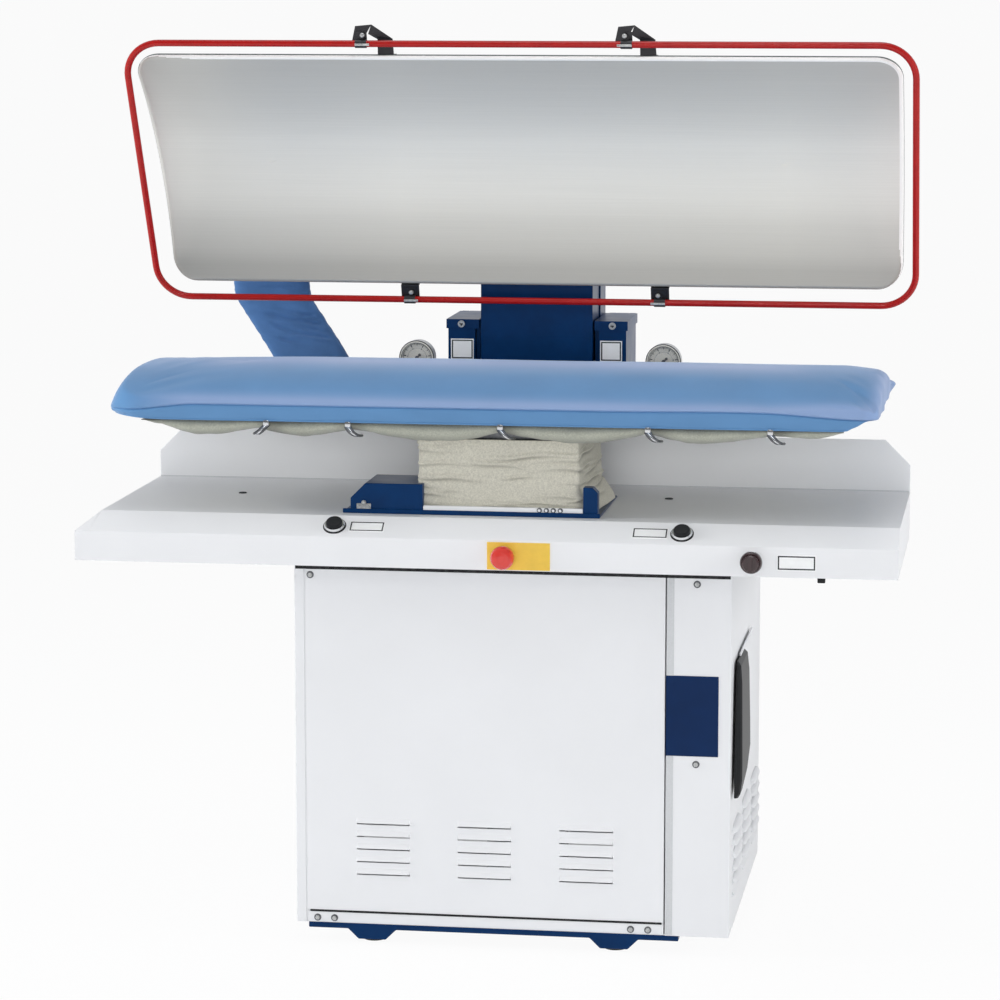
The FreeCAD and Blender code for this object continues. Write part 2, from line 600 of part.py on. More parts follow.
def ring(radius_in, radius_out, low, high):
    return [(radius_in, low), (radius_out, low), (radius_out, high), (radius_in, high)]


neck_bore = d.stem_radius + d.stem_play


def bezel(name):
    inside = d.cap_radius + d.cap_play
    return turned(name, [
        (neck_bore, -d.neck_length), (d.neck_radius, -d.neck_length), (d.neck_radius, 0), (d.bezel_radius, 0),
        (d.bezel_radius, d.bezel_height / 2), (inside + (d.bezel_radius - inside) / 2, d.bezel_height),
        (inside, d.bezel_height), (inside, gauge / 2), (neck_bore, gauge / 2)])


def button(name):
    crown = d.cap_lift + d.cap_height
    return turned(name, [
        (0, -d.neck_length), (d.stem_radius, -d.neck_length), (d.stem_radius, d.cap_lift),
        (d.cap_radius, d.cap_lift), (d.cap_radius, crown - gauge), (d.cap_radius - gauge, crown), (0, crown)])


strip_mid = {"y": d.strip_run / 2, "z": strip_low + d.strip_rise / 2}
bezels = []
for side, x in (("left", d.left_button_x), ("right", d.right_button_x)):
    spot = (x, strip_mid["y"], strip_mid["z"])
    bezels.append(placed(bezel(f"{side}_button_bezel"), spot, Vector(1, 0, 0), slope))
    node(f"{side}_button", button(f"{side}_button"), at=spot, axis=Vector(1, 0, 0), angle=slope)

facing = {"axis": Vector(1, 0, 0), "angle": 90}
estop_at = (d.estop_x, 0, control_z)
plate_sheet = prism("estop_plate_sheet", "XZ", rectangle(
    (d.estop_plate_left, d.estop_plate_left + d.estop_plate_width),
    (control_z - d.estop_plate_height / 2, control_z + d.estop_plate_height / 2)), -d.estop_plate_gauge,
    0 * gauge)
node("estop_plate", cut(
    "estop_plate", plate_sheet,
    bar("estop_plate_hole", "y", d.hole_radius, -gauge * 2, gauge, (d.estop_x, control_z))))
collar_top = d.estop_plate_gauge + d.estop_collar_height
node("estop_collar", turned("estop_collar", [
    (neck_bore, -d.neck_length), (d.neck_radius, -d.neck_length), (d.neck_radius, d.estop_plate_gauge),
    (d.estop_collar_radius, d.estop_plate_gauge), (d.estop_collar_radius, collar_top - gauge),
    (d.estop_collar_radius - gauge, collar_top), (neck_bore, collar_top)]), at=estop_at, **facing)
cap_low = collar_top + d.estop_gap
cap_high = cap_low + d.estop_thickness
node("estop_plunger", turned("estop_plunger", ring(
    0, d.stem_radius, -d.neck_length, cap_low + d.estop_grip - d.running_gap)), at=estop_at, **facing)
grip_bore = d.stem_radius + d.turn_play
node("estop_button", turned("estop_button", [
    (grip_bore, cap_low), (d.estop_radius - gauge, cap_low), (d.estop_radius, cap_low + gauge),
    (d.estop_radius, cap_low + d.estop_thickness / 2), (d.estop_radius * 0.86, cap_high - gauge * 2),
    (d.estop_radius * 0.6, cap_high - gauge / 2), (d.estop_radius * 0.3, cap_high), (0, cap_high),
    (0, cap_low + d.estop_grip), (grip_bore, cap_low + d.estop_grip)]), at=estop_at, **facing)

knob_at = (d.knob_x, 0, control_z)
spindle_bore = d.knob_spindle_radius + d.turn_play
bezels.append(placed(turned("selector_base", [
    (spindle_bore, -d.neck_length), (d.neck_radius, -d.neck_length), (d.neck_radius, 0),
    (d.knob_base_radius, 0),
    (d.knob_base_radius, d.knob_base_height - gauge), (d.knob_base_radius - gauge, d.knob_base_height),
    (spindle_bore, d.knob_base_height)]), knob_at, **facing))
node("control_bezels", *bezels)
knob_low = d.knob_base_height + d.running_gap
knob_top = knob_low + d.knob_height
grip = turned("knob_grip", [
    (0, -d.neck_length), (d.knob_spindle_radius, -d.neck_length), (d.knob_spindle_radius, knob_low),
    (d.knob_radius, knob_low), (d.knob_radius - gauge / 2, knob_top - gauge),
    (d.knob_radius - gauge * 1.5, knob_top),
    (0, knob_top)])
ridge = block("knob_ridge", (-d.knob_ridge / 2, d.knob_ridge / 2),
              (-d.knob_radius + gauge, d.knob_radius - gauge),
              (knob_top - gauge, knob_top + gauge * 2))
node("selector_knob", fuse("selector_knob", grip, ridge), at=knob_at, **facing)

# Saddle on the table and the pedestal that carries the buck
saddle_x = (d.saddle_left_x, d.saddle_left_x + d.saddle_width)
tray_top = top + d.saddle_gauge
saddle_box_x = (saddle_x[0] + d.saddle_box_inset, saddle_x[0] + d.saddle_box_inset + d.saddle_box_width)
saddle_box_y = (d.saddle_front + d.saddle_gauge, d.saddle_front + d.saddle_gauge + d.saddle_box_depth)
post_x = (saddle_x[1] - d.post_inset - d.post_width, saddle_x[1] - d.post_inset)
saddle_high = top + d.saddle_box_height
saddle_blank = fuse(
    "saddle_blank",
    block("saddle_plate", saddle_x, (d.saddle_front, d.saddle_front + d.saddle_depth), (top, tray_top)),
    block("saddle_lip", saddle_x, (d.saddle_front, d.saddle_front + d.saddle_gauge),
          (top, top + d.saddle_lip)),
    prism("saddle_box", "XZ", [
        (saddle_box_x[0], top), (saddle_box_x[1], top), (saddle_box_x[1], saddle_high),
        (saddle_box_x[0] + d.saddle_box_chamfer, saddle_high),
        (saddle_box_x[0], saddle_high - d.saddle_box_chamfer)], *saddle_box_y),
    prism("saddle_post", "XZ", [
        (post_x[0], top), (post_x[1], top), (post_x[1], saddle_high - d.post_chamfer),
        (post_x[1] - d.post_chamfer, saddle_high), (post_x[0], saddle_high)],
        d.saddle_front + d.saddle_gauge, d.saddle_front + d.saddle_gauge + d.post_depth))
node("saddle", cut(
    "saddle", saddle_blank,
    bar("saddle_duct_hole", "z", d.duct_radius + d.running_gap, top - gauge, tray_top + gauge,
        (duct_x, duct_y))))

pedestal_x = (duct_x - d.pedestal_width / 2, duct_x + d.pedestal_width / 2)
pedestal_y = (d.pedestal_front, d.pedestal_front + d.pedestal_depth)
node("pedestal", cut(
    "pedestal", block("pedestal_outside", pedestal_x, pedestal_y, (tray_top, platen_bottom)),
    block("pedestal_inside", grown(pedestal_x, -d.pedestal_wall), grown(pedestal_y, -d.pedestal_wall),
          (tray_top - gauge, platen_bottom + gauge))))


# Soft forms
def rounded_loop(x, y, radius, z):
    """A level rounded rectangle of lines and quarter arcs."""
    (x0, x1), (y0, y1) = [(float(low), float(high)) for low, high in (x, y)]
    corners = [(x0, y0, -1, -1), (x1, y0, 1, -1), (x1, y1, 1, 1), (x0, y1, -1, 1)]
    edges, ends = [], []
    for number, (x, y, sx, sy) in enumerate(corners):
        cx, cy = x - sx * radius, y - sy * radius
        side, rise = Vector(x, cy, z), Vector(cx, y, z)
        middle = Vector(cx + sx * radius * math.sqrt(0.5), cy + sy * radius * math.sqrt(0.5), z)
        first, last = (side, rise) if number % 2 == 0 else (rise, side)
        ends.append((first, last))
        edges.append(Part.Arc(first, middle, last).toShape())
    joined = []
    for number in range(4):
        joined.append(edges[number])
        joined.append(Part.LineSegment(ends[number][1], ends[(number + 1) % 4][0]).toShape())
    return Part.Wire(joined)


def canvas_form():
    """A cloth wrap with level wrinkles, wider at its foot."""
    inner_x, inner_y = grown(pedestal_x, d.soft_gap), grown(pedestal_y, d.soft_gap)
    low, high = float(tray_top + d.running_gap), float(tray_top + d.canvas_height)
    steps = 2 * int(d.canvas_wrinkles.value)
    loops = []
    for step in range(steps + 1):
        share = step / steps
        swell = float(d.canvas_thickness) - float(d.canvas_wrinkle) * (step % 2) + float(d.canvas_flare) * (1 - share) ** 2
        loops.append(rounded_loop(grown(inner_x, swell), grown(inner_y, swell), 16 - 5 * (step % 2),
                                  low + (high - low) * share))
    outside = Part.makeLoft(loops, True, True)
    inside = Part.makeBox(float(inner_x[1] - inner_x[0]), float(inner_y[1] - inner_y[0]), 3 * (high - low),
                          Vector(float(inner_x[0]), float(inner_y[0]), low - (high - low)))
    return outside.cut(inside)


node("pedestal_canvas", solid("pedestal_canvas", canvas_form()))


def buck_outline(inset, z):
    """The buck's plan at one level: a square right end and a slanted, rounded left nose."""
    front, rear = float(d.buck_front) + inset, float(buck_rear) - inset
    left, right = float(d.buck_left_x) + inset, float(d.buck_right_x) - inset
    slant, corner, nose = float(d.buck_left_slant), float(d.buck_corner), float(d.buck_nose)
    spots = [(right, front, corner), (right, rear, corner), (left + slant, rear, corner * 1.3),
             (left, front, nose)]
    return round_path([(Vector(x, y, z), radius) for x, y, radius in spots])


def round_path(spots):
    """A closed loop of lines joined by tangent arcs; each spot is a corner and its radius."""
    count = len(spots)
    parts, ends = [], []
    for number, (spot, radius) in enumerate(spots):
        back = (spots[number - 1][0] - spot).normalize()
        ahead = (spots[(number + 1) % count][0] - spot).normalize()
        half = back.getAngle(ahead) / 2
        reach = radius / math.tan(half)
        middle = (back + ahead).normalize()
        apex = spot + middle * (radius / math.sin(half) - radius)
        ends.append((spot + back * reach, spot + ahead * reach))
        parts.append(Part.Arc(ends[number][0], apex, ends[number][1]).toShape())
    joined = []
    for number in range(count):
        joined.append(parts[number])
        joined.append(Part.LineSegment(ends[number][1], ends[(number + 1) % count][0]).toShape())
    return Part.Wire(joined)


def crown_section(x, drop, inset, bottom):
    """The buck's section across its depth: straight sides under a crowned top."""
    front, rear = float(d.buck_front) - 60, float(buck_rear) + 60
    half, rise = float(d.buck_depth) / 2, float(d.crown_rise)
    radius = (half * half + rise * rise) / (2 * rise)
    crown = float(seam) + rise - inset - drop
    middle = (front + rear) / 2
    spread = (rear - front) / 2
    shoulder = crown - (radius - math.sqrt(radius * radius - spread * spread))
    tip = Vector(x, middle, crown)
    corners = [Vector(x, front, shoulder), Vector(x, rear, shoulder), Vector(x, rear, bottom),
               Vector(x, front, bottom)]
    return Part.Wire([
        Part.Arc(corners[0], tip, corners[1]).toShape(), Part.LineSegment(corners[1], corners[2]).toShape(),
        Part.LineSegment(corners[2], corners[3]).toShape(),
        Part.LineSegment(corners[3], corners[0]).toShape()])


def cushion(inset, bottom):
    """The crowned pad, set in all round by one amount, with its sides drawn in towards the hem."""
    left, right = float(d.buck_left_x), float(d.buck_right_x)
    roll, drop = float(d.end_roll), float(d.end_drop)
    ends = [(0.0, 1.0), (0.12, 0.62), (0.36, 0.26), (0.68, 0.06), (1.0, 0.0)]
    sections = [crown_section(left - 1 + roll * 1.6 * run, drop * fall, inset, bottom) for run, fall in ends]
    sections += [crown_section(right + 1 - roll * run, drop * fall, inset, bottom) for run,
                 fall in reversed(ends)]
    crown = Part.makeLoft(sections, True, True)
    low, side, tuck = float(hem), float(d.hem_drop), float(d.hem_tuck)
    levels = [(2.2, -0.7), (1.0, 0.0), (0.3, 0.33), (0.0, 0.66), (0.0, 1.4), (0.0, 4.0)]
    walls = Part.makeLoft([buck_outline(inset + tuck * draw, low + side * rise) for draw, rise in levels],
                          True, True)
    return crown.common(walls)


hem_level = float(hem)
skin = float(d.cover_thickness)
node("buck_cover", solid("buck_cover", cushion(0.0, hem_level).cut(cushion(skin, hem_level - skin))))
pad_play = float(d.running_gap)
node("buck_padding", solid("buck_padding", cushion(skin + pad_play, float(platen_top) + pad_play)))
platen_rim = float(d.platen_inset) + float(d.hem_tuck)
platen_face = Part.Face(buck_outline(platen_rim, float(platen_bottom)))
node("buck_platen", solid("buck_platen", platen_face.extrude(Vector(0, 0, float(d.platen_thickness)))))

hook_places = [d.hook_1_x, d.hook_2_x, d.hook_3_x, d.hook_4_x, d.hook_5_x]


def undercloth():
    """The cloth drawn under the buck: sags between the hooks and is pinched up at each."""
    ceiling = hem_level - float(d.running_gap)
    front, rear = float(d.buck_front + d.undercloth_inset), float(buck_rear - d.undercloth_inset)
    sag, pinch = float(d.undercloth_sag), float(d.undercloth_pinch)
    left, right = float(d.buck_left_x) + 70, float(d.buck_right_x) - 45
    hooks = [float(x) for x in hook_places]
    stops = [left] + hooks + [right]
    depths = [(left, 3.0)]
    for number in range(len(stops) - 1):
        span = stops[number + 1] - stops[number]
        for share in (0.2, 0.5, 0.8):
            depths.append((stops[number] + span * share, sag * (1 - 1.2 * (share - 0.5) ** 2)))
        depths.append((stops[number + 1], pinch if number < len(stops) - 2 else 3.0))
    sections = []
    for x, depth in depths:
        near, far = Vector(x, front, ceiling), Vector(x, rear, ceiling)
        low = Vector(x, (front + rear) / 2, ceiling - depth)
        knee_front = Vector(x, front + 22, ceiling - depth * 0.86)
        knee_rear = Vector(x, rear - 22, ceiling - depth * 0.86)
        sections.append(Part.Wire([
            Part.LineSegment(near, knee_front).toShape(), Part.Arc(knee_front, low, knee_rear).toShape(),
            Part.LineSegment(knee_rear, far).toShape(), Part.LineSegment(far, near).toShape()]))
    cloth = Part.makeLoft(sections, True, True)
    neck_x, neck_y = grown(pedestal_x, d.soft_gap), grown(pedestal_y, d.soft_gap)
    neck = Part.makeBox(float(neck_x[1] - neck_x[0]), float(neck_y[1] - neck_y[0]), 4 * sag,
                        Vector(float(neck_x[0]), float(neck_y[0]), ceiling - 3 * sag))
    return cloth.cut(neck)


node("under_canvas", solid("under_canvas", undercloth()))


def hook(number, x):
    """A spring clip under the hem with a wire that draws the cloth under."""
    face = d.buck_front + d.hem_tuck
    high = hem - d.running_gap
    sides = (x - d.hook_width / 2, x + d.hook_width / 2)
    foot = block(f"hook_foot_{number}", sides, (face - d.hook_gauge, face + d.hook_foot_reach),
                 (high - d.hook_gauge, high))
    tab = block(f"hook_tab_{number}", sides, (face - d.hook_gauge, face), (high - d.hook_height, high))
    wire = bar(f"hook_wire_{number}", "z", d.hook_wire_radius, hem - d.hook_wire_drop,
               high - d.hook_height / 2, (x, face))
    end = bar(f"hook_end_{number}", "y", d.hook_wire_radius, face, face + d.hook_wire_run,
              (x, hem - d.hook_wire_drop))
    return fuse(f"hook_{number}", foot, tab, wire, end)


node("cover_hooks", *[hook(number, x) for number, x in enumerate(hook_places)])


# Head, drawn closed: a polished trough, its steam chamber, a hood and the arm
def face_radius():
    half, rise = d.head_depth.value / 2, d.face_rise.value
    return (half * half + rise * rise) / (2 * rise)


face_bow = Size("((dims.head_depth * dims.head_depth / 4 + dims.face_rise * dims.face_rise) / (2 * dims.face_rise))",
                face_radius())
bow_y = d.head_front + d.head_depth / 2
bow_z = rim + d.face_rise - face_bow
head_x = (d.head_left_front_x, d.head_right_x)


def trough(name, depth):
    """A bar of round section whose upper side is the face's bow, set out by a depth."""
    return bar(name, "x", face_bow + depth, head_x[0] * 2, head_x[1] * 2, (bow_y, bow_z))


plan = prism("head_plan", "XY", [
    (head_x[1], d.head_front, d.head_corner), (head_x[1], head_rear, d.head_corner),
    (d.head_left_rear_x, head_rear, d.head_corner), (head_x[0], d.head_front, d.head_corner)],
    rim - d.face_rise, rim + d.face_rise * 2)
shell = cut("face_shell", trough("face_back", d.face_thickness), trough("face_front", 0 * d.face_thickness))
face_blank = common("face_blank", plan, shell)
doc.recompute()


def rim_edges(shape):
    """The numbers of the trough's outer edges, on its front face."""
    radius = face_bow.value
    chosen = []
    for number, edge in enumerate(shape.Edges, start=1):
        spot = edge.valueAt((edge.FirstParameter + edge.LastParameter) / 2)
        away = math.hypot(spot.y - bow_y.value, spot.z - bow_z.value)
        if abs(away - radius) < 0.01:
            chosen.append(number)
    return chosen


def softened(name, blank, radius):
    made = doc.addObject("Part::Fillet", name)
    made.Base = blank
    made.Edges = [(number, radius, radius) for number in rim_edges(blank.Shape)]
    return made


node("head_platen", softened("head_platen", face_blank, d.face_rim.value), swing=True)

chamber_top = rim + d.face_rise + d.chamber_height
chamber_x = (d.head_left_rear_x + d.chamber_margin_x, head_x[1] - d.chamber_margin_x)
node("steam_chamber", cut(
    "steam_chamber",
    block("chamber_block", chamber_x, (d.head_front + d.chamber_margin_y, head_rear - d.chamber_margin_y),
          (rim, chamber_top)),
    trough("chamber_seat", d.face_thickness)), swing=True)

hood_top = rim + d.hood_height
hood_x = (d.head_left_rear_x + d.hood_end_margin, head_x[1] - d.hood_end_margin)


def hood_blank(name, inset):
    return prism(name, "YZ", [
        (d.head_front + d.hood_front_margin + inset, rim), (head_rear - d.hood_margin - inset, rim),
        (head_rear - d.hood_margin - d.hood_slope - inset, hood_top - inset),
        (d.head_front + d.hood_front_margin + d.hood_slope + inset, hood_top - inset)],
        hood_x[0] + inset, hood_x[1] - inset)


collar_x = (d.sheath_top_x - d.sheath_width / 2 - d.collar_wall,
            d.sheath_top_x + d.sheath_width / 2 + d.collar_wall)
collar_y = (head_rear - d.hood_margin * 3 - d.sheath_thickness - d.collar_wall * 2,
            head_rear - d.hood_margin * 3)
collar = cut(
    "hood_collar", block("hood_collar_outside", collar_x, collar_y, (hood_top, hood_top + d.collar_height)),
    block("hood_collar_inside", grown(collar_x, -d.collar_wall), grown(collar_y, -d.collar_wall),
          (hood_top + gauge, hood_top + d.collar_height + gauge)))
node("head_hood", fuse("head_hood", cut(
    "hood_shell", hood_blank("hood_outside", 0 * gauge), hood_blank("hood_inside", gauge),
    trough("hood_seat", d.face_thickness)), collar), swing=True)

# The arm: a channel over the hood, a round hub on the shaft and a short lever to the press cylinder
arm_x = (centre - d.arm_width / 2, centre + d.arm_width / 2)
lower_y = pivot_y - d.hub_radius * cosine(d.open_angle)
lower_z = pivot_z - d.hub_radius * sine(d.open_angle)
arm_tip = head_rear - d.hood_margin - d.hood_slope - d.arm_length
hook_y = head_rear + d.soft_gap
hook_z = lower_z + (lower_y - hook_y) * sine(90 - d.open_angle) / cosine(90 - d.open_angle)
arm_top = hood_top + d.arm_back_height
arm = prism("arm_blank", "YZ", [
    (lower_y, lower_z), (pivot_y, pivot_z), (pivot_y, arm_top), (head_rear, arm_top),
    (arm_tip, hood_top + d.arm_thickness), (arm_tip, hood_top), (hook_y, hood_top), (hook_y, hook_z)],
    *arm_x)
inside_x = (arm_x[0] + d.arm_wall, arm_x[1] - d.arm_wall)
feature(arm, "Pocket", "YZ", [[
    (pivot_y - d.hub_radius, hood_top + d.arm_wall), (pivot_y - d.hub_radius, arm_top + d.arm_wall),
    (arm_tip + d.arm_wall, arm_top + d.arm_wall), (arm_tip + d.arm_wall, hood_top + d.arm_wall)]], *inside_x)
lever_angle = d.open_angle / 2
lever_y = pivot_y + d.lever_radius * cosine(lever_angle)
lever_z = pivot_z + d.lever_radius * sine(lever_angle)
lever_x = (centre - d.lever_width / 2, centre + d.lever_width / 2)
side_y, side_z = d.lever_half_height * sine(lever_angle), d.lever_half_height * cosine(lever_angle)
lever = prism("arm_lever", "YZ", [
    (pivot_y + side_y, pivot_z - side_z), (lever_y + side_y, lever_z - side_z),
    (lever_y - side_y, lever_z + side_z), (pivot_y - side_y, pivot_z + side_z)], *lever_x)
pin_x = (centre - d.lever_pin_length / 2, centre + d.lever_pin_length / 2)
waist_x = (centre - d.hub_waist_width / 2, centre + d.hub_waist_width / 2)
node("head_arm", cut(
    "head_arm", fuse(
        "arm_built", arm, lever, bar("arm_waist", "x", d.hub_waist_radius, *arm_x, (pivot_y, pivot_z)),
        bar("left_hub", "x", d.hub_radius, arm_x[0], waist_x[0], (pivot_y, pivot_z)),
        bar("right_hub", "x", d.hub_radius, waist_x[1], arm_x[1], (pivot_y, pivot_z)),
        bar("lever_eye", "x", d.lever_eye_radius, *lever_x, (lever_y, lever_z)),
        bar("lever_pin", "x", d.lever_pin_radius, *pin_x, (lever_y, lever_z))),
    bar("arm_bore", "x", d.shaft_radius, *grown(arm_x, gauge), (pivot_y, pivot_z))), swing=True)

cheek_left = (arm_x[0] - d.cheek_gap - d.cheek_thickness, arm_x[0] - d.cheek_gap)
cheek_right = (arm_x[1] + d.cheek_gap, arm_x[1] + d.cheek_gap + d.cheek_thickness)
shaft_x = (cheek_left[0] - d.bush_flange, cheek_right[1] + d.bush_flange)
node("pivot_shaft", bar("shaft_bar", "x", d.shaft_radius, *shaft_x, (pivot_y, pivot_z)), swing=True)

# Column: two cheek plates with bushes, boxed in by the valve boxes, and a rear cover
cheek_y = (d.box_front + d.cheek_front, d.box_front + d.box_depth - d.cheek_rear_gap)
box_top = lid_top - gauge - d.lid_play
cheek_z = (deck, box_top)


def cheek(name, limits):
    plate = block(name + "_plate", limits, cheek_y, cheek_z)
    return cut(name, plate, bar(name + "_hole", "x", d.bush_radius, *grown(limits, gauge),
                                (pivot_y, pivot_z)))


node("cheek_plates", cheek("left_cheek", cheek_left), cheek("right_cheek", cheek_right))


def bush(name, plate, flange):
    sleeve = fuse(name + "_sleeve", bar(name + "_body", "x", d.bush_radius, *plate, (pivot_y, pivot_z)),
                  bar(name + "_flange", "x", d.bush_flange_radius, *flange, (pivot_y, pivot_z)))
    bore = bar(name + "_bore", "x", d.shaft_radius + d.shaft_play, *grown((shaft_x[0], shaft_x[1]), gauge),
               (pivot_y, pivot_z))
    return cut(name, sleeve, bore)


node("pivot_bushes",
     bush("left_bush", cheek_left, (cheek_left[0] - d.bush_flange, cheek_left[0])),
     bush("right_bush", cheek_right, (cheek_right[1], cheek_right[1] + d.bush_flange)))

box_y = (d.box_front, d.box_front + d.box_depth)
box_limits = {"left": (cheek_left[0] - d.box_width, cheek_left[0]),
              "right": (cheek_right[1], cheek_right[1] + d.box_width)}


hinge_y = box_y[1] + d.knuckle_radius + d.lid_play
hinge_z = lid_top - d.knuckle_radius


def valve_box(side):
    """An open-topped sheet box, closed inwards by the cheek, with its lid's hinge pin behind it."""
    limits = box_limits[side]
    hollow = (limits[0] + gauge, limits[1] + gauge) if side == "left" else (limits[0] - gauge,
                                                                            limits[1] - gauge)
    tray = cut(f"{side}_box_tray", block(f"{side}_box_outside", limits, box_y, (deck, box_top)),
               block(f"{side}_box_inside", hollow, grown(box_y, -gauge), (deck + gauge, box_top + gauge)))
    inside = grown(limits, -gauge / 2)
    pieces = [tray, bar(f"{side}_hinge_pin", "x", d.hinge_pin_radius, *inside, (hinge_y, hinge_z))]
    ends = ((inside[0], inside[0] + d.knuckle_length), (inside[1] - d.knuckle_length, inside[1]))
    for number, end in enumerate(ends):
        pieces.append(bar(f"{side}_knuckle_{number}", "x", d.knuckle_radius, *end, (hinge_y, hinge_z)))
        pieces.append(block(f"{side}_hinge_leaf_{number}", end, (box_y[1] - gauge, hinge_y),
                            (hinge_z - d.knuckle_radius * 2, hinge_z - d.knuckle_radius / 2)))
    return fuse(f"{side}_valve_box", *pieces)


node("valve_boxes", valve_box("left"), valve_box("right"))
lock_z = lid_top - d.lock_drop
for side in ("left", "right"):
    limits = box_limits[side]
    near = d.lid_play
    outer = (limits[0] - d.lid_overhang, cheek_left[1] - near) if side == "left" else (
        cheek_right[0] + near, limits[1] + d.lid_overhang)
    lid_y = (box_y[0] - d.lid_overhang, box_y[1])
    barrel = grown(limits, -d.knuckle_length - gauge)
    skirt_x = (outer[0] + gauge, outer[1] + gauge) if side == "left" else (outer[0] - gauge, outer[1] - gauge)
    lock_x = (limits[0] + limits[1]) / 2
    lid_sheet = cut(f"{side}_lid_sheet", block(f"{side}_lid_outside", outer, lid_y,
                                               (lid_top - d.lid_skirt, lid_top)),
                    block(f"{side}_lid_inside", skirt_x, (lid_y[0] + gauge, lid_y[1] + gauge),
                          (lid_top - d.lid_skirt * 2, lid_top - gauge)))
    bore = bar(f"{side}_lid_bore", "y", d.lock_spindle_radius + d.turn_play, lid_y[0] - gauge,
               lid_y[0] + gauge * 2,
               (lock_x, lock_z))
    knuckle = bar(f"{side}_lid_knuckle", "x", d.knuckle_radius, *barrel, (hinge_y, hinge_z))
    strap = block(f"{side}_lid_strap", barrel, (lid_y[1] - gauge, hinge_y), (lid_top - gauge, lid_top))
    pin_bore = bar(f"{side}_lid_pin_bore", "x", d.hinge_pin_radius + d.turn_play, *grown(barrel, gauge),
                   (hinge_y, hinge_z))
    node(f"{side}_box_lid", cut(f"{side}_box_lid", fuse(f"{side}_lid_built", lid_sheet, knuckle, strap),
                                bore, pin_bore))
    node(f"{side}_box_lock", fuse(
        f"{side}_box_lock",
        bar(f"{side}_lock_head", "y", d.lock_radius, lid_y[0] - d.lock_height - d.turn_play,
            lid_y[0] - d.turn_play,
            (lock_x, lock_z)),
        bar(f"{side}_lock_spindle", "y", d.lock_spindle_radius, lid_y[0] - d.lock_height,
            lid_y[0] + gauge + d.turn_play,
            (lock_x, lock_z))))

cover_y = (cheek_y[1] - d.column_cover_depth + d.cheek_rear_gap, box_y[1] + d.cheek_rear_gap * 3)
cover_z = (deck, pivot_z + d.column_cover_rise)
cover_x = (cheek_left[1] + d.lid_play, cheek_right[0] - d.lid_play)
node("column_rear_cover", cut(
    "column_rear_cover", block("rear_cover_outside", cover_x, cover_y, cover_z),
    block("rear_cover_inside", grown(cover_x, -gauge), (cover_y[0] - gauge, cover_y[1] - gauge),
          (deck - gauge, cover_z[1] + gauge))))

# Press cylinder: its yoke lifts the lever's pin to close the head
open_z = pivot_z - d.lever_radius * sine(lever_angle)
yoke_half = d.lever_pin_radius + d.yoke_play
yoke_z = (open_z - d.yoke_drop, open_z + d.yoke_rise)
yoke_y_mid = pivot_y + d.lever_radius * (cosine(lever_angle) + 1) / 2
yoke_y = (yoke_y_mid - d.yoke_depth / 2, yoke_y_mid + d.yoke_depth / 2)
yoke_in = d.lever_width / 2 + d.yoke_gap
barrel_top = yoke_z[0] - d.yoke_base - d.running_gap * 4
barrel_x = centre
fork = []
for side, sign in (("left", -1), ("right", 1)):
    faces = sorted((centre + yoke_in * sign, centre + (yoke_in + d.yoke_plate) * sign), key=float)
    fork.append(cut(
        f"{side}_fork", block(f"{side}_fork_plate", faces, yoke_y, yoke_z),
        block(f"{side}_fork_slot", grown(faces, gauge),
              (yoke_y_mid - d.yoke_slot / 2, yoke_y_mid + d.yoke_slot / 2),
              (open_z - yoke_half, open_z + yoke_half))))
fork_x = (centre - yoke_in - d.yoke_plate, centre + yoke_in + d.yoke_plate)
node("piston_rod", fuse(
    "piston_rod", *fork, block("fork_base", fork_x, yoke_y, (yoke_z[0] - d.yoke_base, yoke_z[0])),
    bar("rod_bar", "z", d.rod_radius, yoke_z[0] - d.yoke_base - d.rod_length, yoke_z[0] - d.yoke_base,
        (barrel_x, yoke_y_mid))))
barrel_z = (deck, barrel_top)
node("press_cylinder", cut(
    "press_cylinder",
    fuse("barrel_blank", bar("barrel", "z", d.barrel_radius, *barrel_z, (barrel_x, yoke_y_mid)),
         block("barrel_foot", (barrel_x - d.barrel_radius - d.barrel_foot,
                               barrel_x + d.barrel_radius + d.barrel_foot),
               (yoke_y_mid - d.barrel_radius, yoke_y_mid + d.barrel_radius), (deck, deck + d.barrel_foot))),
    bar("rod_bore", "z", d.rod_radius + d.shaft_play, barrel_top - d.rod_length - d.barrel_foot,
        barrel_top + gauge, (barrel_x, yoke_y_mid))))


# Safety bar round the head, on two front brackets and hung in two rear clips
bar_z = rim - d.bar_drop
bar_front = d.head_front - d.bar_reach
bar_rear = head_rear + d.bar_reach


def safety_loop():
    """The bar: one bent round rod, swept in two halves that meet at the middle of its long sides."""
    level = bar_z.value
    right, front, rear = float(d.bar_right_x), float(bar_front), float(bar_rear)
    loop = [Vector(right, front, level), Vector(right, rear, level),
            Vector(float(d.bar_left_rear_x), rear, level), Vector(float(d.bar_left_front_x), front, level)]
    halves = []
    begin, close = Vector(0, front, level), Vector(0, rear, level)
    for first, second in ((loop[0], loop[1]), (loop[3], loop[2])):
        path = round_chain([begin, first, second, close], float(d.bar_corner))
        ring_edge = Part.Circle(begin, Vector(1, 0, 0), float(d.bar_radius)).toShape()
        halves.append(path.makePipeShell([Part.Wire(ring_edge)], True, False))
    return halves[0].fuse(halves[1]).removeSplitter()


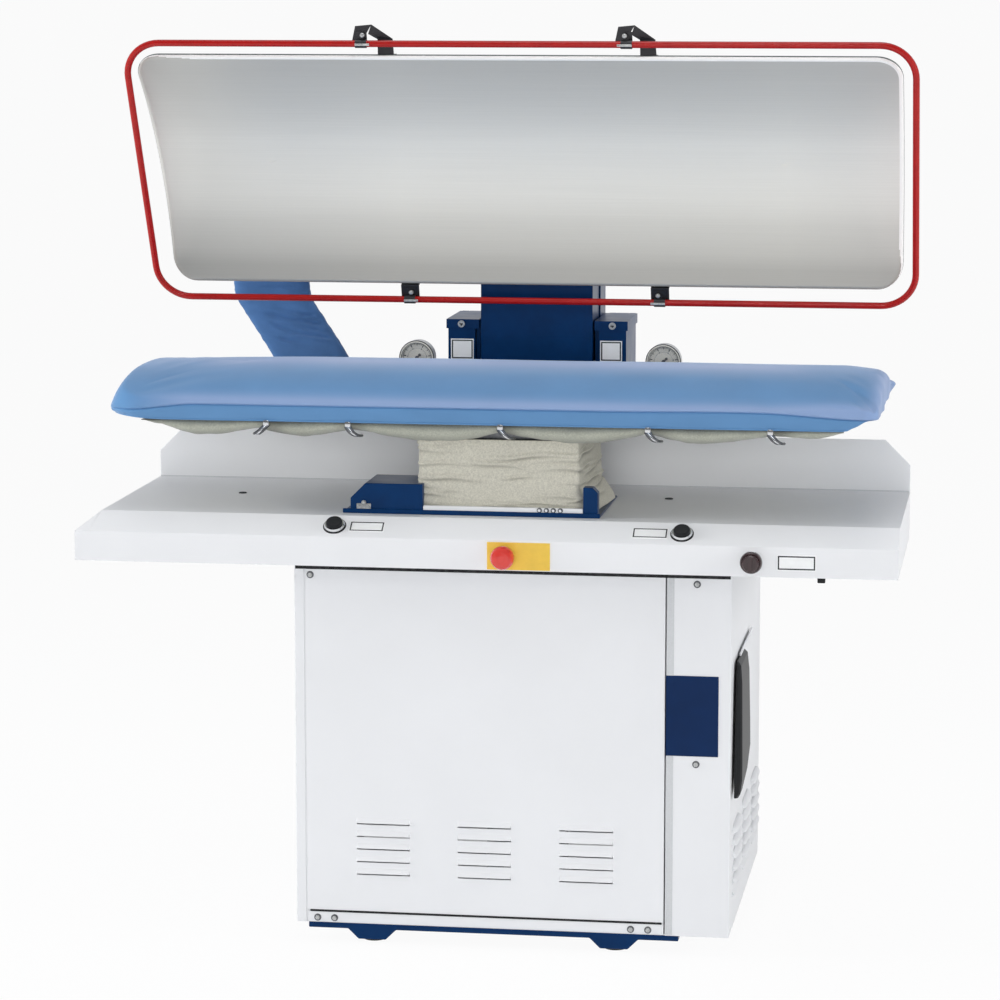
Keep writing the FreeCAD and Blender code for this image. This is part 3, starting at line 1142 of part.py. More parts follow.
def round_chain(points, radius):
    """An open path of straight runs joined by tangent arcs of one radius."""
    edges = []
    last = points[0]
    for number in range(1, len(points) - 1):
        spot = points[number]
        back = (points[number - 1] - spot).normalize()
        ahead = (points[number + 1] - spot).normalize()
        half = back.getAngle(ahead) / 2
        reach = radius / math.tan(half)
        middle = (back + ahead).normalize()
        apex = spot + middle * (radius / math.sin(half) - radius)
        edges.append(Part.LineSegment(last, spot + back * reach).toShape())
        edges.append(Part.Arc(spot + back * reach, apex, spot + ahead * reach).toShape())
        last = spot + ahead * reach
    edges.append(Part.LineSegment(last, points[-1]).toShape())
    return Part.Wire(edges)


node("safety_bar", solid("safety_bar", safety_loop()), swing=True)

clip_top = bar_z + d.bar_radius + d.turn_play + d.clip_gauge
plate_z = (clip_top, clip_top + d.bracket_gauge)


def front_bracket(name, x, hand):
    """A bent strip: a chamfered wing over the rod, a tongue to the head's rim and a leg up along its edge."""
    wing_y = (bar_front - d.bracket_reach, bar_front + d.bar_radius + d.bracket_gauge * 2)
    edge, inner = x - d.bracket_width / 2 * hand, x + d.bracket_width / 2 * hand
    wing = prism(name + "_wing", "XY", [
        (edge, wing_y[1]), (edge, wing_y[0] + d.bracket_gauge), (edge + d.bracket_gauge * hand, wing_y[0]),
        (inner - d.bracket_chamfer * hand, wing_y[0]), (inner, wing_y[0] + d.bracket_chamfer / 2),
        (inner, wing_y[1])],
        *plate_z)
    leg_x = sorted((inner - d.bracket_leg_width * hand, inner), key=float)
    tongue_y = (wing_y[1] - d.bracket_gauge, d.head_front - d.soft_gap)
    tongue = block(name + "_tongue", leg_x, tongue_y, plate_z)
    leg = block(name + "_leg", leg_x, (tongue_y[1] - d.bracket_gauge, tongue_y[1]),
                (plate_z[0], plate_z[0] + d.bracket_leg_height))
    return fuse(name, wing, tongue, leg)


node("front_bar_brackets", front_bracket("front_bracket_1", d.front_bracket_1_x, 1),
     front_bracket("front_bracket_2", d.front_bracket_2_x, 1), swing=True)


def clip(name, x, y, tail):
    """A strip clip round the rod with a tail under its screw; tail is the tail's Y limits."""
    limits = (x - d.clip_width / 2, x + d.clip_width / 2)
    around = bar(name + "_outside", "x", d.bar_radius + d.turn_play + d.clip_gauge, *limits, (y, bar_z))
    inside = bar(name + "_inside", "x", d.bar_radius + d.turn_play, *grown(limits, gauge), (y, bar_z))
    strap = block(name + "_tail", limits, tail, (plate_z[0] - d.clip_gauge, plate_z[0]))
    tail_mid = (tail[0] + tail[1]) / 2
    screw = bar(name + "_screw", "z", d.clip_screw_radius, plate_z[0] - d.clip_gauge - d.clip_screw_height,
                plate_z[0] - d.clip_gauge, (x, tail_mid))
    return cut(name, fuse(name + "_blank", around, strap, screw), inside)


clip_out = d.bar_radius + d.clip_gauge + d.clip_tail
front_clip_x = [d.front_bracket_1_x - d.bracket_width / 2 + d.clip_width / 2 + gauge,
                d.front_bracket_2_x - d.bracket_width / 2 + d.clip_width / 2 + gauge]
node("front_bar_clips", *[
    clip(f"front_clip_{number}", x, bar_front, (bar_front - clip_out, bar_front))
    for number, x in enumerate(front_clip_x)], swing=True)


def rear_bracket(name, x):
    """A tab hung from the hood's rear edge, over the rod."""
    limits = (x - d.rear_bracket_width / 2, x + d.rear_bracket_width / 2)
    flat = block(name + "_flat", limits, (head_rear + d.soft_gap, bar_rear + d.bar_radius), plate_z)
    rise = block(name + "_rise", limits, (head_rear + d.soft_gap, head_rear + d.soft_gap + d.bracket_gauge),
                 (plate_z[0], plate_z[0] + d.rear_bracket_rise))
    over = block(name + "_over", limits, (head_rear - d.hood_margin - d.hood_slope / 4,
                                          head_rear + d.soft_gap),
                 (plate_z[0] + d.rear_bracket_rise - d.bracket_gauge, plate_z[0] + d.rear_bracket_rise))
    return fuse(name, flat, rise, over)


rear_brackets, rear_clips = [], []
for number, x in enumerate((d.rear_bracket_1_x, d.rear_bracket_2_x)):
    rear_brackets.append(rear_bracket(f"rear_bracket_{number}", x))
    rear_clips.append(clip(f"rear_clip_{number}", x, bar_rear, (bar_rear - clip_out, bar_rear)))
node("rear_bar_brackets", *rear_brackets, swing=True)
node("rear_bar_clips", *rear_clips, swing=True)

# Pressure gauges on stems from the deck, each with a needle on a pin
gauge_z = pivot_z - d.gauge_drop
dial_y = d.gauge_y - d.gauge_depth / 2 + d.gauge_recess
gauges = []
for side, x in (("left", d.gauge_left_x), ("right", d.gauge_right_x)):
    case_y = (d.gauge_y - d.gauge_depth / 2, d.gauge_y + d.gauge_depth / 2)
    case = cut(f"{side}_gauge_case", bar(f"{side}_gauge_drum", "y", d.gauge_radius, *case_y, (x, gauge_z)),
               bar(f"{side}_gauge_well", "y", d.gauge_radius - d.gauge_rim, case_y[0] - gauge, dial_y,
                   (x, gauge_z)))
    gauges.append(fuse(
        f"{side}_gauge", case,
        bar(f"{side}_gauge_stem", "z", d.gauge_stem_radius, deck, gauge_z - d.gauge_radius + d.gauge_rim,
            (x, d.gauge_y)),
        bar(f"{side}_gauge_flange", "z", d.gauge_flange_radius, deck, deck + d.gauge_flange, (x, d.gauge_y)),
        bar(f"{side}_gauge_pin", "y", d.needle_pin_radius, dial_y - d.gauge_recess / 2, dial_y,
            (x, gauge_z))))
    needle_y = dial_y - d.gauge_recess / 2 - d.needle_gauge / 2
    thick = (0 * gauge, d.needle_gauge * 1.5)
    pointer = prism(f"{side}_needle_blade", "XZ", [
        (-d.needle_width / 2, -d.needle_tail), (d.needle_width / 2, -d.needle_tail),
        (d.needle_width / 4, 0), (d.needle_width / 8, d.needle_length),
        (-d.needle_width / 8, d.needle_length), (-d.needle_width / 4, 0)], *thick)
    hub = bar(f"{side}_needle_hub", "y", d.needle_hub_radius, *thick, (0, 0))
    node(f"{side}_gauge_needle", cut(
        f"{side}_gauge_needle", fuse(f"{side}_needle_blank", pointer, hub),
        bar(f"{side}_needle_bore", "y", d.needle_pin_radius + d.turn_play, d.needle_gauge / 2,
            thick[1] + gauge, (0, 0))),
        at=(x, needle_y, gauge_z), axis=Vector(0, 1, 0), angle=d.needle_zero_angle)
node("gauges", *gauges)


# Hose sheath: a cloth sleeve over the steam hoses from the deck to the head, with folds down its right side
def sheath_section(spot, width, thickness, lean, fold):
    """A flat oval of lines and arcs, level across X, tilted by lean about X; fold dents its right edge."""
    half, thick = width / 2, thickness / 2
    across, through_dir = Vector(1, 0, 0), Vector(0, math.cos(lean), math.sin(lean))

    def at(u, v):
        return spot + across * u + through_dir * v
    right = half - fold
    return Part.Wire([
        Part.LineSegment(at(-half + thick, -thick), at(right - thick, -thick)).toShape(),
        Part.Arc(at(right - thick, -thick), at(right - 0.3 * thick, -0.7 * thick), at(right, 0)).toShape(),
        Part.Arc(at(right, 0), at(right - 0.3 * thick, 0.7 * thick), at(right - thick, thick)).toShape(),
        Part.LineSegment(at(right - thick, thick), at(-half + thick, thick)).toShape(),
        Part.Arc(at(-half + thick, thick), at(-half + 0.3 * thick, 0.7 * thick), at(-half, 0)).toShape(),
        Part.Arc(at(-half, 0), at(-half + 0.3 * thick, -0.7 * thick), at(-half + thick, -thick)).toShape()])


def opened(y, z):
    """Where a point of the closed head stands when the head is open."""
    turn = math.radians(d.open_angle.value)
    away_y, away_z = y - pivot_y.value, z - pivot_z.value
    return (pivot_y.value + away_y * math.cos(turn) + away_z * math.sin(turn),
            pivot_z.value - away_y * math.sin(turn) + away_z * math.cos(turn))


def sheath():
    width, thickness, fold = float(d.sheath_width), float(d.sheath_thickness), float(d.sheath_fold)
    mouth_y = float((collar_y[0] + collar_y[1]) / 2)
    mouth = opened(mouth_y, float(hood_top + gauge) + float(d.running_gap))
    past = opened(mouth_y, float(hood_top + d.collar_height * 2))
    tilt = math.radians(90 - d.open_angle.value)
    level = float(pivot_z)
    stops = [
        (float(d.sheath_top_x), mouth[0], mouth[1], math.pi / 2 + tilt, 0.0),
        (float(d.sheath_top_x), past[0], past[1], math.pi / 2 + tilt, 0.0),
        (float(d.sheath_top_x) + 4, past[0] + 34, past[1] - 22, math.pi / 3, fold),
        (float(d.sheath_top_x) + 10, past[0] + 44, level + float(d.sheath_top_rise) * 0.5, 0.16, 0.0),
        (float(d.sheath_mid_x) - 22, float(d.sheath_mid_y) + 22, level, 0.0, fold),
        (float(d.sheath_mid_x), float(d.sheath_mid_y) + 8, level - float(d.sheath_mid_drop), 0.0, 0.0),
        (float(d.sheath_mid_x) + 62, float(d.sheath_mid_y) + 4, (level + float(deck)) / 2, 0.0, fold),
        (float(d.sheath_low_x), float(d.sheath_low_y), float(deck) + 70, 0.0, 0.0),
        (float(d.sheath_low_x), float(d.sheath_low_y), float(deck + d.collar_wall) + float(d.running_gap),
         0.0, 0.0)]
    play = 2 * float(d.running_gap)
    sections = [sheath_section(Vector(x, y, z), width - play, thickness - play, lean, dent)
                for x, y, z, lean, dent in stops]
    return Part.makeLoft(sections, True, True)


node("hose_sheath", solid("hose_sheath", sheath()))

# Vacuum fan in the cabinet, drawing through the pedestal and blowing out at the rear
fan_y = (d.fan_y, d.fan_y + d.fan_thickness)
inlet_radius = d.duct_radius


def fan_case(name, inset):
    drum = bar(name + "_drum", "y", d.fan_radius - inset, fan_y[0] + inset, fan_y[1] - inset, (duct_x, fan_z))
    throat = block(name + "_throat", (duct_x, duct_x + d.fan_outlet_reach - inset),
                   (fan_y[0] + inset, fan_y[1] - inset),
                   (fan_z - d.fan_outlet_height / 2 + inset, fan_z + d.fan_outlet_height / 2 - inset))
    return fuse(name, drum, throat)


exhaust_y = (fan_y[1] - d.fan_wall, cabinet_rear + d.soft_gap + d.exhaust_stub)
stand_x = (duct_x - d.motor_foot_width / 2, duct_x + d.motor_foot_width / 2)
fan_built = fuse(
    "fan_built", fan_case("fan_outside", 0 * gauge),
    bar("exhaust_pipe", "y", d.exhaust_pipe_radius, *exhaust_y, (outlet_x, fan_z)),
    bar("exhaust_end", "y", d.exhaust_radius, cabinet_rear + d.soft_gap, exhaust_y[1], (outlet_x, fan_z)),
    block("fan_stand", stand_x, fan_y, (plinth + gauge, fan_z - d.fan_radius / 2)))
node("fan_housing", cut(
    "fan_housing", fan_built, fan_case("fan_inside", d.fan_wall),
    bar("exhaust_inside", "y", d.exhaust_pipe_radius - d.exhaust_wall, fan_y[1] - d.fan_wall * 2,
        exhaust_y[1] + gauge, (outlet_x, fan_z)),
    bar("fan_inlet", "y", inlet_radius + d.running_gap, fan_y[0] - gauge, fan_y[0] + d.fan_wall + gauge,
        (duct_x, fan_z)),
    bar("fan_shaft_hole", "y", d.motor_shaft_radius + d.running_gap, fan_y[1] - d.fan_wall * 2,
        fan_y[1] + gauge, (duct_x, fan_z))))

plate_y = (fan_y[1] - d.fan_wall - d.impeller_plate * 2, fan_y[1] - d.fan_wall - d.impeller_plate)
blades = []
for number in range(int(d.impeller_blades.value)):
    blade = block(f"blade_{number}", (d.impeller_hub_radius - gauge, d.impeller_radius - gauge),
                  (-d.blade_gauge / 2, d.blade_gauge / 2),
                  (0 * gauge, d.blade_height))
    wing = doc.addObject("Part::Compound", f"blade_turned_{number}")
    wing.Links = [blade]
    wing.Placement = Placement(Vector(), Rotation(Vector(0, 0, 1), 360 * number / d.impeller_blades.value))
    blades.append(wing)
wheel = fuse(
    "impeller_wheel", *blades, bar("impeller_back", "z", d.impeller_radius, -d.impeller_plate, 0 * gauge,
                                   (0, 0)),
    bar("impeller_hub", "z", d.impeller_hub_radius, -d.impeller_plate, d.blade_height / 2, (0, 0)),
    bar("impeller_shaft", "z", d.motor_shaft_radius, -d.impeller_plate * 4 - d.fan_wall, 0 * gauge, (0, 0)))
node("fan_impeller", wheel, at=(duct_x, plate_y[0], fan_z), axis=Vector(1, 0, 0), angle=90)
motor_y = (fan_y[1], fan_y[1] + d.motor_length)
node("fan_motor", cut(
    "fan_motor", fuse(
        "motor_blank", bar("motor_drum", "y", d.motor_radius, *motor_y, (duct_x, fan_z)),
        block("motor_stand", stand_x, (motor_y[0] + d.motor_length / 3, motor_y[1] - d.motor_length / 3),
              (plinth + gauge, fan_z))),
    bar("motor_bore", "y", d.motor_shaft_radius + d.shaft_play, motor_y[0] - gauge,
        motor_y[0] + d.impeller_plate * 6, (duct_x, fan_z))))



def duct_run(name, inset, extra):
    return fuse(name, bar(name + "_drop", "z", d.duct_radius - inset, fan_z,
                          tray_top - d.running_gap + extra, (duct_x, duct_y)),
                bar(name + "_level", "y", d.duct_radius - inset, duct_y, fan_y[0] + d.fan_wall + extra,
                    (duct_x, fan_z)),
                ball(name + "_elbow", d.duct_radius - inset))


def ball(name, radius):
    made = doc.addObject("Part::Sphere", name)
    bind(made, "Radius", radius)
    bind(made, "Placement.Base.x", duct_x)
    bind(made, "Placement.Base.y", duct_y)
    bind(made, "Placement.Base.z", fan_z)
    return made


node("suction_duct", cut("suction_duct", duct_run("duct_outside", 0 * gauge, 0 * gauge),
                         duct_run("duct_inside", d.duct_wall, gauge)))

# Services: steam manifold with two rear ports
manifold_x = (d.manifold_left_x, d.manifold_left_x + d.manifold_length)
ports, bores = [], []
for name, x in (("steam", d.steam_port_x), ("condensate", d.condensate_port_x)):
    port_y = (cabinet_rear + d.soft_gap, cabinet_rear + d.soft_gap + d.port_stub)
    ports.append(bar(f"{name}_pipe", "y", d.port_pipe_radius, manifold_y, port_y[1], (x, services_z)))
    ports.append(bar(f"{name}_port", "y", d.port_radius, *port_y, (x, services_z)))
    bores.append(bar(f"{name}_bore", "y", d.port_bore, manifold_y, port_y[1] + gauge, (x, services_z)))
hangers = [block(f"hanger_{number}", (x - d.port_radius, x + d.port_radius),
                 (manifold_y - d.port_radius, manifold_y + d.port_radius),
                 (services_z, lid_of_cabinet)) for number,
                 x in enumerate((d.steam_port_x, d.condensate_port_x))]
node("steam_manifold", cut("steam_manifold", fuse(
    "manifold_blank", bar("manifold_pipe", "x", d.manifold_radius, *manifold_x, (manifold_y, services_z)),
    *ports, *hangers), *bores))
doc.recompute()

# Check every object, then write each sub-part
for item in doc.Objects:
    if {"Invalid", "Error"} & set(item.State):
        raise RuntimeError(f"{item.Name} failed: {item.State}")
os.makedirs("parts", exist_ok=True)
for piece in nodes:
    if piece.Shape.isNull() or not piece.Shape.isValid() or not piece.Shape.Solids:
        raise RuntimeError(f"{piece.Label} has no valid solid")
for piece in nodes:
    piece.Shape.exportStep(f"parts/{piece.Label}.step")
    box = piece.Shape.BoundBox
    print(f"{piece.Label:24s} solids {len(piece.Shape.Solids):2d} volume {piece.Shape.Volume / 1000:9.1f} cm3 "
          f"x {box.XMin:7.1f} {box.XMax:7.1f} y {box.YMin:7.1f} {box.YMax:7.1f} z {box.ZMin:7.1f} {box.ZMax:7.1f}")
print(len(nodes), "nodes")
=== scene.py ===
"""Utility laundry press: the looks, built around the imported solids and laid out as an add-on.

Lengths are metres in the frame of the part: X to the right, Y to the rear, Z up from the floor.
"""

import math

import bmesh
import bpy
import numpy as np
from mathutils import Matrix, Vector, noise


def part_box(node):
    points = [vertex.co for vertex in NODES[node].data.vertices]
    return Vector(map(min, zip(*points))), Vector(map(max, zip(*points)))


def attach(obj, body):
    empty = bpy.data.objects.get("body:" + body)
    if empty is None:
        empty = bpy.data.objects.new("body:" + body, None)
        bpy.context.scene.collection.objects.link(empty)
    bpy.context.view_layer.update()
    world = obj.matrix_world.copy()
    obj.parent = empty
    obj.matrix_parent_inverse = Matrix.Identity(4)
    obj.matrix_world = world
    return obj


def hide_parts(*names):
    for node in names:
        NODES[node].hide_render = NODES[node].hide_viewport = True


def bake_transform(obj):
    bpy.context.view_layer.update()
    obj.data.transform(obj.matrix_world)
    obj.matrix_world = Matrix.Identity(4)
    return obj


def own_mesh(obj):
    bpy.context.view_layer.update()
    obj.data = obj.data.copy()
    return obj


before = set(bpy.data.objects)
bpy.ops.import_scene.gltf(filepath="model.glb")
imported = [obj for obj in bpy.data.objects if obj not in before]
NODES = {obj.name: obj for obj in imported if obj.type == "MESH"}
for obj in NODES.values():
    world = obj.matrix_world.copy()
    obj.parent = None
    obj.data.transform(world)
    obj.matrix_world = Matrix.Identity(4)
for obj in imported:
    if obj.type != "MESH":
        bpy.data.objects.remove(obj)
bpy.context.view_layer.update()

bl_info = {
    "name": "Laundry press",
    "version": (1, 0, 0),
    "blender": (4, 5, 0),
    "location": "3D View > Sidebar > Press",
    "description": "Dresses the packed solids of a utility laundry press",
    "category": "Object",
}

MM = 0.001
WELD = 0.00001  # points closer than this are one


def linear(code):
    """The linear RGBA colour of an sRGB hex code."""
    shares = [int(code[start:start + 2], 16) / 255 for start in (0, 2, 4)]
    return [c / 12.92 if c <= 0.04045 else ((c + 0.055) / 1.055) ** 2.4 for c in shares] + [1.0]


def colour(label, words, code):
    return bpy.props.FloatVectorProperty(
        name=label, description=words, default=linear(code), size=4, subtype="COLOR", min=0, max=1)


def length(label, words, metres):
    return bpy.props.FloatProperty(name=label, description=words, default=metres, unit="LENGTH", min=0)


class PressColours(bpy.types.PropertyGroup):
    """Colours of the painted, moulded and woven pieces"""

    white: colour("Cabinet white", "Powder coat of the table and the cabinet", "F0F1F3")
    navy: colour("Navy", "Stove enamel of the saddle, column and base", "05315E")
    # The press face colour is the brightest tone of a painted reflection band across the face
    face: colour("Press face", "Burnished band along the head's polished face", "F6F3EA")
    # The face rim colour is a painted highlight on the rolled rim
    rim: colour("Face rim", "Buffed rim of the head's face", "FBFBFA")
    red: colour("Bar red", "Gloss enamel of the safety bar", "B01512")
    black: colour("Bracket black", "Paint of the bar's brackets", "0B0C11")
    cotton: colour("Cover blue", "Cotton cover of the buck", "5E8DBC")
    # This colour is a painted sheen along the cover's crown and above its crease
    painted_sheen: colour("Cover faded", "Where heat has bleached the buck cover", "89A2CB")
    drill: colour("Sheath blue", "Cotton drill of the hose sheath", "5079AE")
    canvas: colour("Canvas", "Cotton duck round the pedestal", "D8D5C7")
    under: colour("Under canvas", "Steamed cotton duck under the buck", "B9BBAD")
    # The under canvas colour is greyer than the canvas, and darker as painted shade under the buck
    moulded: colour("Black moulding", "Moulded push buttons and vent cowl", "17181B")
    stop: colour("Stop red", "Mushroom stop button", "DA3A31")
    yellow: colour("Stop plate yellow", "Printed plate behind the stop button", "F2C94F")
    collar: colour("Pale nylon", "Collar of the stop button", "DAD6CC")
    phenolic: colour("Knob brown", "Phenolic selector knob", "2B1518")
    plate: colour("Blank plate", "Enamelled plate on the control strip", "062752")
    print_ink: colour("Print black", "Borders and dial marks", "15171A")
    film: colour("Label film", "Bare label plates", "FBFCFC")
    dial: colour("Dial", "Gauge dials", "F7F4E9")
    # This grey is the sealant behind the table, and the painted shade beside the control strip
    gasket: colour("Gasket grey", "Gasket beside the control strip, sealant behind the table", "D6D8DA")


class PressSizes(bpy.types.PropertyGroup):
    """Sizes of the details that the solids leave to this file"""

    edge: length("Folded edge", "Bevel on the folded sheet edges", 1.6 * MM)
    rim: length("Face rim", "Radius of the rolled rim round the press face", 8 * MM)
    crease: length("Cover crease", "Depth of the sewn crease round the buck cover", 3.4 * MM)
    border: length("Label border", "Line width on the bare label plates", 2.3 * MM)
    blow: length("Cover swell", "Most that the cover's simulation moves a point", 6 * MM)


def colours():
    return bpy.context.scene.press_colours


def sizes():
    return bpy.context.scene.press_sizes


# Materials

def add(tree, kind, sockets=(), to=None, stops=(), **settings):
    """Adds one node with its settings, socket values or links, and a link from its first output."""
    made = tree.nodes.new("ShaderNode" + kind)
    for key, value in settings.items():
        setattr(made, key, value)
    for key, value in dict(sockets).items():
        if isinstance(value, bpy.types.NodeSocket):
            tree.links.new(value, made.inputs[key])
        else:
            made.inputs[key].default_value = value
    for number, (place, shade) in enumerate(stops):
        if number > 1:
            made.color_ramp.elements.new(place)
        made.color_ramp.elements[number].position = place
        made.color_ramp.elements[number].color = shade
    if to:
        tree.links.new(made.outputs[0], to)
    return made


def material(name, sockets):
    """A new material, its tree, its shader and the place on the piece in metres."""
    made = bpy.data.materials.new(name)
    made.use_nodes = True
    tree = made.node_tree
    shader = tree.nodes["Principled BSDF"]
    for key, value in sockets.items():
        shader.inputs[key].default_value = value
    return made, tree, shader, add(tree, "TexCoord").outputs["Object"]


def shaded(tone, share):
    """A colour made darker or lighter by one share."""
    return [min(1.0, c * share) for c in tone[:3]] + [1.0]


def finish(maker):
    """The material that a maker builds, built once."""
    return bpy.data.materials.get(maker.__name__) or maker()


def between(tone, low, high=1.0):
    """One colour at two shares of itself."""
    return shaded(tone, low), shaded(tone, high)


def mottled(name, sockets, grain, tones, stops=(0.3, 0.7), grit=0.5, rough=None, bump=None, skin=None):
    """A finish mottled by noise.

    The grain is the noise's size in metres and its detail, and the tone runs between two colours at two
    stops of it. The noise may set the roughness between two values. It, or a finer skin of its own size and
    detail, may make a bump of some strength and height.
    """
    made, tree, shader, spot = material(name, sockets)
    cloud = add(tree, "TexNoise", {"Vector": spot, "Scale": 1 / grain[0], "Detail": grain[1],
                                   "Roughness": grit})
    add(tree, "ValToRGB", {"Fac": cloud.outputs[0]}, shader.inputs["Base Color"], list(zip(stops, tones)))
    if rough:
        add(tree, "MapRange", {"Value": cloud.outputs[0], "To Min": rough[0], "To Max": rough[1]},
            shader.inputs["Roughness"])
    if skin:
        cloud = add(tree, "TexNoise", {"Vector": spot, "Scale": 1 / skin[0], "Detail": skin[1]})
    if bump:
        add(tree, "Bump", {"Height": cloud.outputs[0], "Strength": bump[0], "Distance": bump[1]},
            shader.inputs["Normal"])
    return made


def powder_coated_steel():
    # Epoxy powder baked on folded sheet: satin white with a fine orange peel, a little duller in patches.
    # The peel of a real coat is about 1.5 mm across; it is drawn at 5 mm so that it shows.
    return mottled("powder_coated_steel", {"Roughness": 0.4, "IOR": 1.5}, (0.22, 3.0),
                   between(colours().white, 0.965), rough=(0.34, 0.46), bump=(0.1, 0.0006), skin=(0.005, 1.0))


def stove_enamel():
    # Sprayed and baked enamel on steel plate: deep navy, glossy, with faint runs and dust in the gloss.
    # Runs are about 40 mm long; the dust specks are drawn at 3 mm.
    gloss = {"Roughness": 0.32, "IOR": 1.48, "Specular IOR Level": 0.22, "Specular Tint": linear("C6CCF2")}
    return mottled("stove_enamel", gloss, (0.04, 4.0), between(colours().navy, 0.86, 1.12), (0.32, 0.72), 0.6,
                   rough=(0.24, 0.42), bump=(0.08, 0.0004), skin=(0.003, 2.0))


def polished_aluminium():
    # Cast plate ground and polished lengthways: bright grey with soft streaks along the plate. Its tone by
    # height is a painted reflection: a near-white band in the middle, darker towards both long edges.
    # Polishing lines are far under 0.1 mm; they are drawn 1.5 mm wide and 250 mm long.
    face, white = colours().face, (1, 1, 1, 1)
    made, tree, shader, spot = material("polished_aluminium", {"Metallic": 0.35, "Roughness": 0.42})
    rise = add(tree, "SeparateXYZ", {"Vector": spot})
    # Painted reflection: the tone follows the height of the open face
    band = add(tree, "MapRange", {"Value": rise.outputs["Z"], "From Min": 1.13, "From Max": 1.53})
    tone = add(tree, "ValToRGB", {"Fac": band.outputs[0]}, None, [
        (place, shaded(face, share)) for place, share in (
            (0.06, 0.56), (0.13, 0.67), (0.26, 0.8), (0.32, 0.9), (0.39, 0.98), (0.48, 1.02), (0.62, 1.03),
            (0.73, 0.92), (0.84, 0.83), (0.95, 0.77))])
    drawn = add(tree, "Mapping", {"Vector": spot, "Scale": (1 / 0.25, 1 / 0.0015, 1 / 0.0015)})
    lines = add(tree, "TexNoise", {"Vector": drawn.outputs[0], "Scale": 1.0, "Detail": 3.0})
    streaks = add(tree, "ValToRGB", {"Fac": lines.outputs[0]}, None,
                  list(zip((0.3, 0.7), between(white, 0.96))))
    drawn_tone = add(tree, "MixRGB", {"Fac": 1.0, "Color1": tone.outputs[0], "Color2": streaks.outputs[0]},
                     blend_type="MULTIPLY")
    # Painted shade: both ends, the left one most, are darkened a little
    across = add(tree, "MapRange", {"Value": rise.outputs["X"], "From Min": -0.683, "From Max": 0.681})
    ends = add(tree, "ValToRGB", {"Fac": across.outputs[0]}, None, [
        (0.0, linear("DADCE0")), (0.06, linear("E4E6E9")), (0.16, linear("F1F2F4")), (0.34, white),
        (0.85, white), (1.0, linear("F3F3F6"))])
    add(tree, "MixRGB", {"Fac": 1.0, "Color1": drawn_tone.outputs[0], "Color2": ends.outputs[0]},
        shader.inputs["Base Color"], blend_type="MULTIPLY")
    add(tree, "MapRange", {"Value": lines.outputs[0], "To Min": 0.33, "To Max": 0.43},
        shader.inputs["Roughness"])
    add(tree, "Bump", {"Height": lines.outputs[0], "Strength": 0.03, "Distance": 0.0003},
        shader.inputs["Normal"])
    return made


def rim_painted_highlight():
    # Painted highlight on the rolled rim: near white, with fine scratches drawn 2 mm long.
    return mottled("rim_painted_highlight", {"Metallic": 0.15, "Roughness": 0.3}, (0.002, 2.0),
                   between(colours().rim, 0.96))


def painted_dark_edge():
    # Painted dark reflection on the plate's edge and the rim's outer part: dull dark grey, with marks about 3
    # mm long.
    return mottled("painted_dark_edge", {"Metallic": 0.7, "Roughness": 0.5}, (0.003, 3.0),
                   (linear("4C5453"), linear("687070")))


def gloss_enamel():
    # Dipped gloss enamel on a bent rod: wet red with slow thickness waves about 30 mm long.
    gloss = {"Roughness": 0.22, "IOR": 1.5, "Specular IOR Level": 0.3, "Coat Weight": 0.15,
             "Coat Roughness": 0.06}
    return mottled("gloss_enamel", gloss, (0.03, 2.0), between(colours().red, 0.88), bump=(0.1, 0.001))


def black_paint():
    # Brushed black paint on bent strip: half matt, with scuffs to the grey below about 6 mm across.
    return mottled("black_paint", {"Roughness": 0.45, "IOR": 1.5, "Specular IOR Level": 0.25}, (0.006, 5.0),
                   (colours().black, linear("2C2F38")), (0.56, 0.8), 0.65,
                   rough=(0.3, 0.6), bump=(0.15, 0.0005))


def chromed_steel():
    # Bright chrome over turned steel: a clean mirror with very faint turning marks, drawn 1 mm apart.
    return mottled("chromed_steel", {"Metallic": 1.0, "Roughness": 0.12}, (0.001, 1.0),
                   [linear("D9DBDE")] * 2, rough=(0.08, 0.2))


def zinc_plated_steel():
    # Bright zinc plate on pressed steel: pale silver with a dull bloom in patches about 4 mm across.
    return mottled("zinc_plated_steel", {"Metallic": 0.7, "Roughness": 0.36}, (0.004, 3.0),
                   (linear("A9ABAC"), linear("D2D3D2")), rough=(0.22, 0.44))


def oiled_steel():
    # Turned steel left bare and oiled: dark grey, smooth along the turning, stained in patches of 10 mm.
    return mottled("oiled_steel", {"Metallic": 1.0, "Roughness": 0.34}, (0.01, 4.0),
                   (linear("5E6064"), linear("85878A")), rough=(0.25, 0.45))


def galvanised_steel():
    # Hot-dip galvanised sheet: matt grey crystals, the spangle about 12 mm across.
    made, tree, shader, spot = material("galvanised_steel", {"Metallic": 0.9, "Roughness": 0.5})
    spangle = add(tree, "TexVoronoi", {"Vector": spot, "Scale": 1 / 0.012})
    add(tree, "ValToRGB", {"Fac": spangle.outputs["Color"]}, shader.inputs["Base Color"],
        [(0.1, linear("8C9093")), (0.9, linear("B2B5B7"))])
    add(tree, "MapRange", {"Value": spangle.outputs["Color"], "To Min": 0.4, "To Max": 0.6},
        shader.inputs["Roughness"])
    return made


def cast_aluminium():
    # Sand-cast aluminium: dull pale grey, pebbled by the sand, grains drawn at 2.5 mm.
    return mottled("cast_aluminium", {"Metallic": 0.85, "Roughness": 0.58}, (0.0025, 3.0),
                   (linear("8D8F91"), linear("AAACAD")), bump=(0.35, 0.0006))


def sintered_bronze():
    # Oil-filled sintered bronze: matt brown metal with pores, drawn at 1 mm.
    return mottled("sintered_bronze", {"Metallic": 0.9, "Roughness": 0.48}, (0.001, 2.0),
                   (linear("6E5228"), linear("A07C46")), (0.35, 0.65))


def moulded_abs():
    # Injection-moulded black ABS: half matt with a spark-eroded grain, drawn at 1.2 mm.
    return mottled("moulded_abs", {"Roughness": 0.46, "IOR": 1.54, "Specular IOR Level": 0.3}, (0.0012, 2.0),
                   between(colours().moulded, 0.7, 1.3), bump=(0.2, 0.0003))


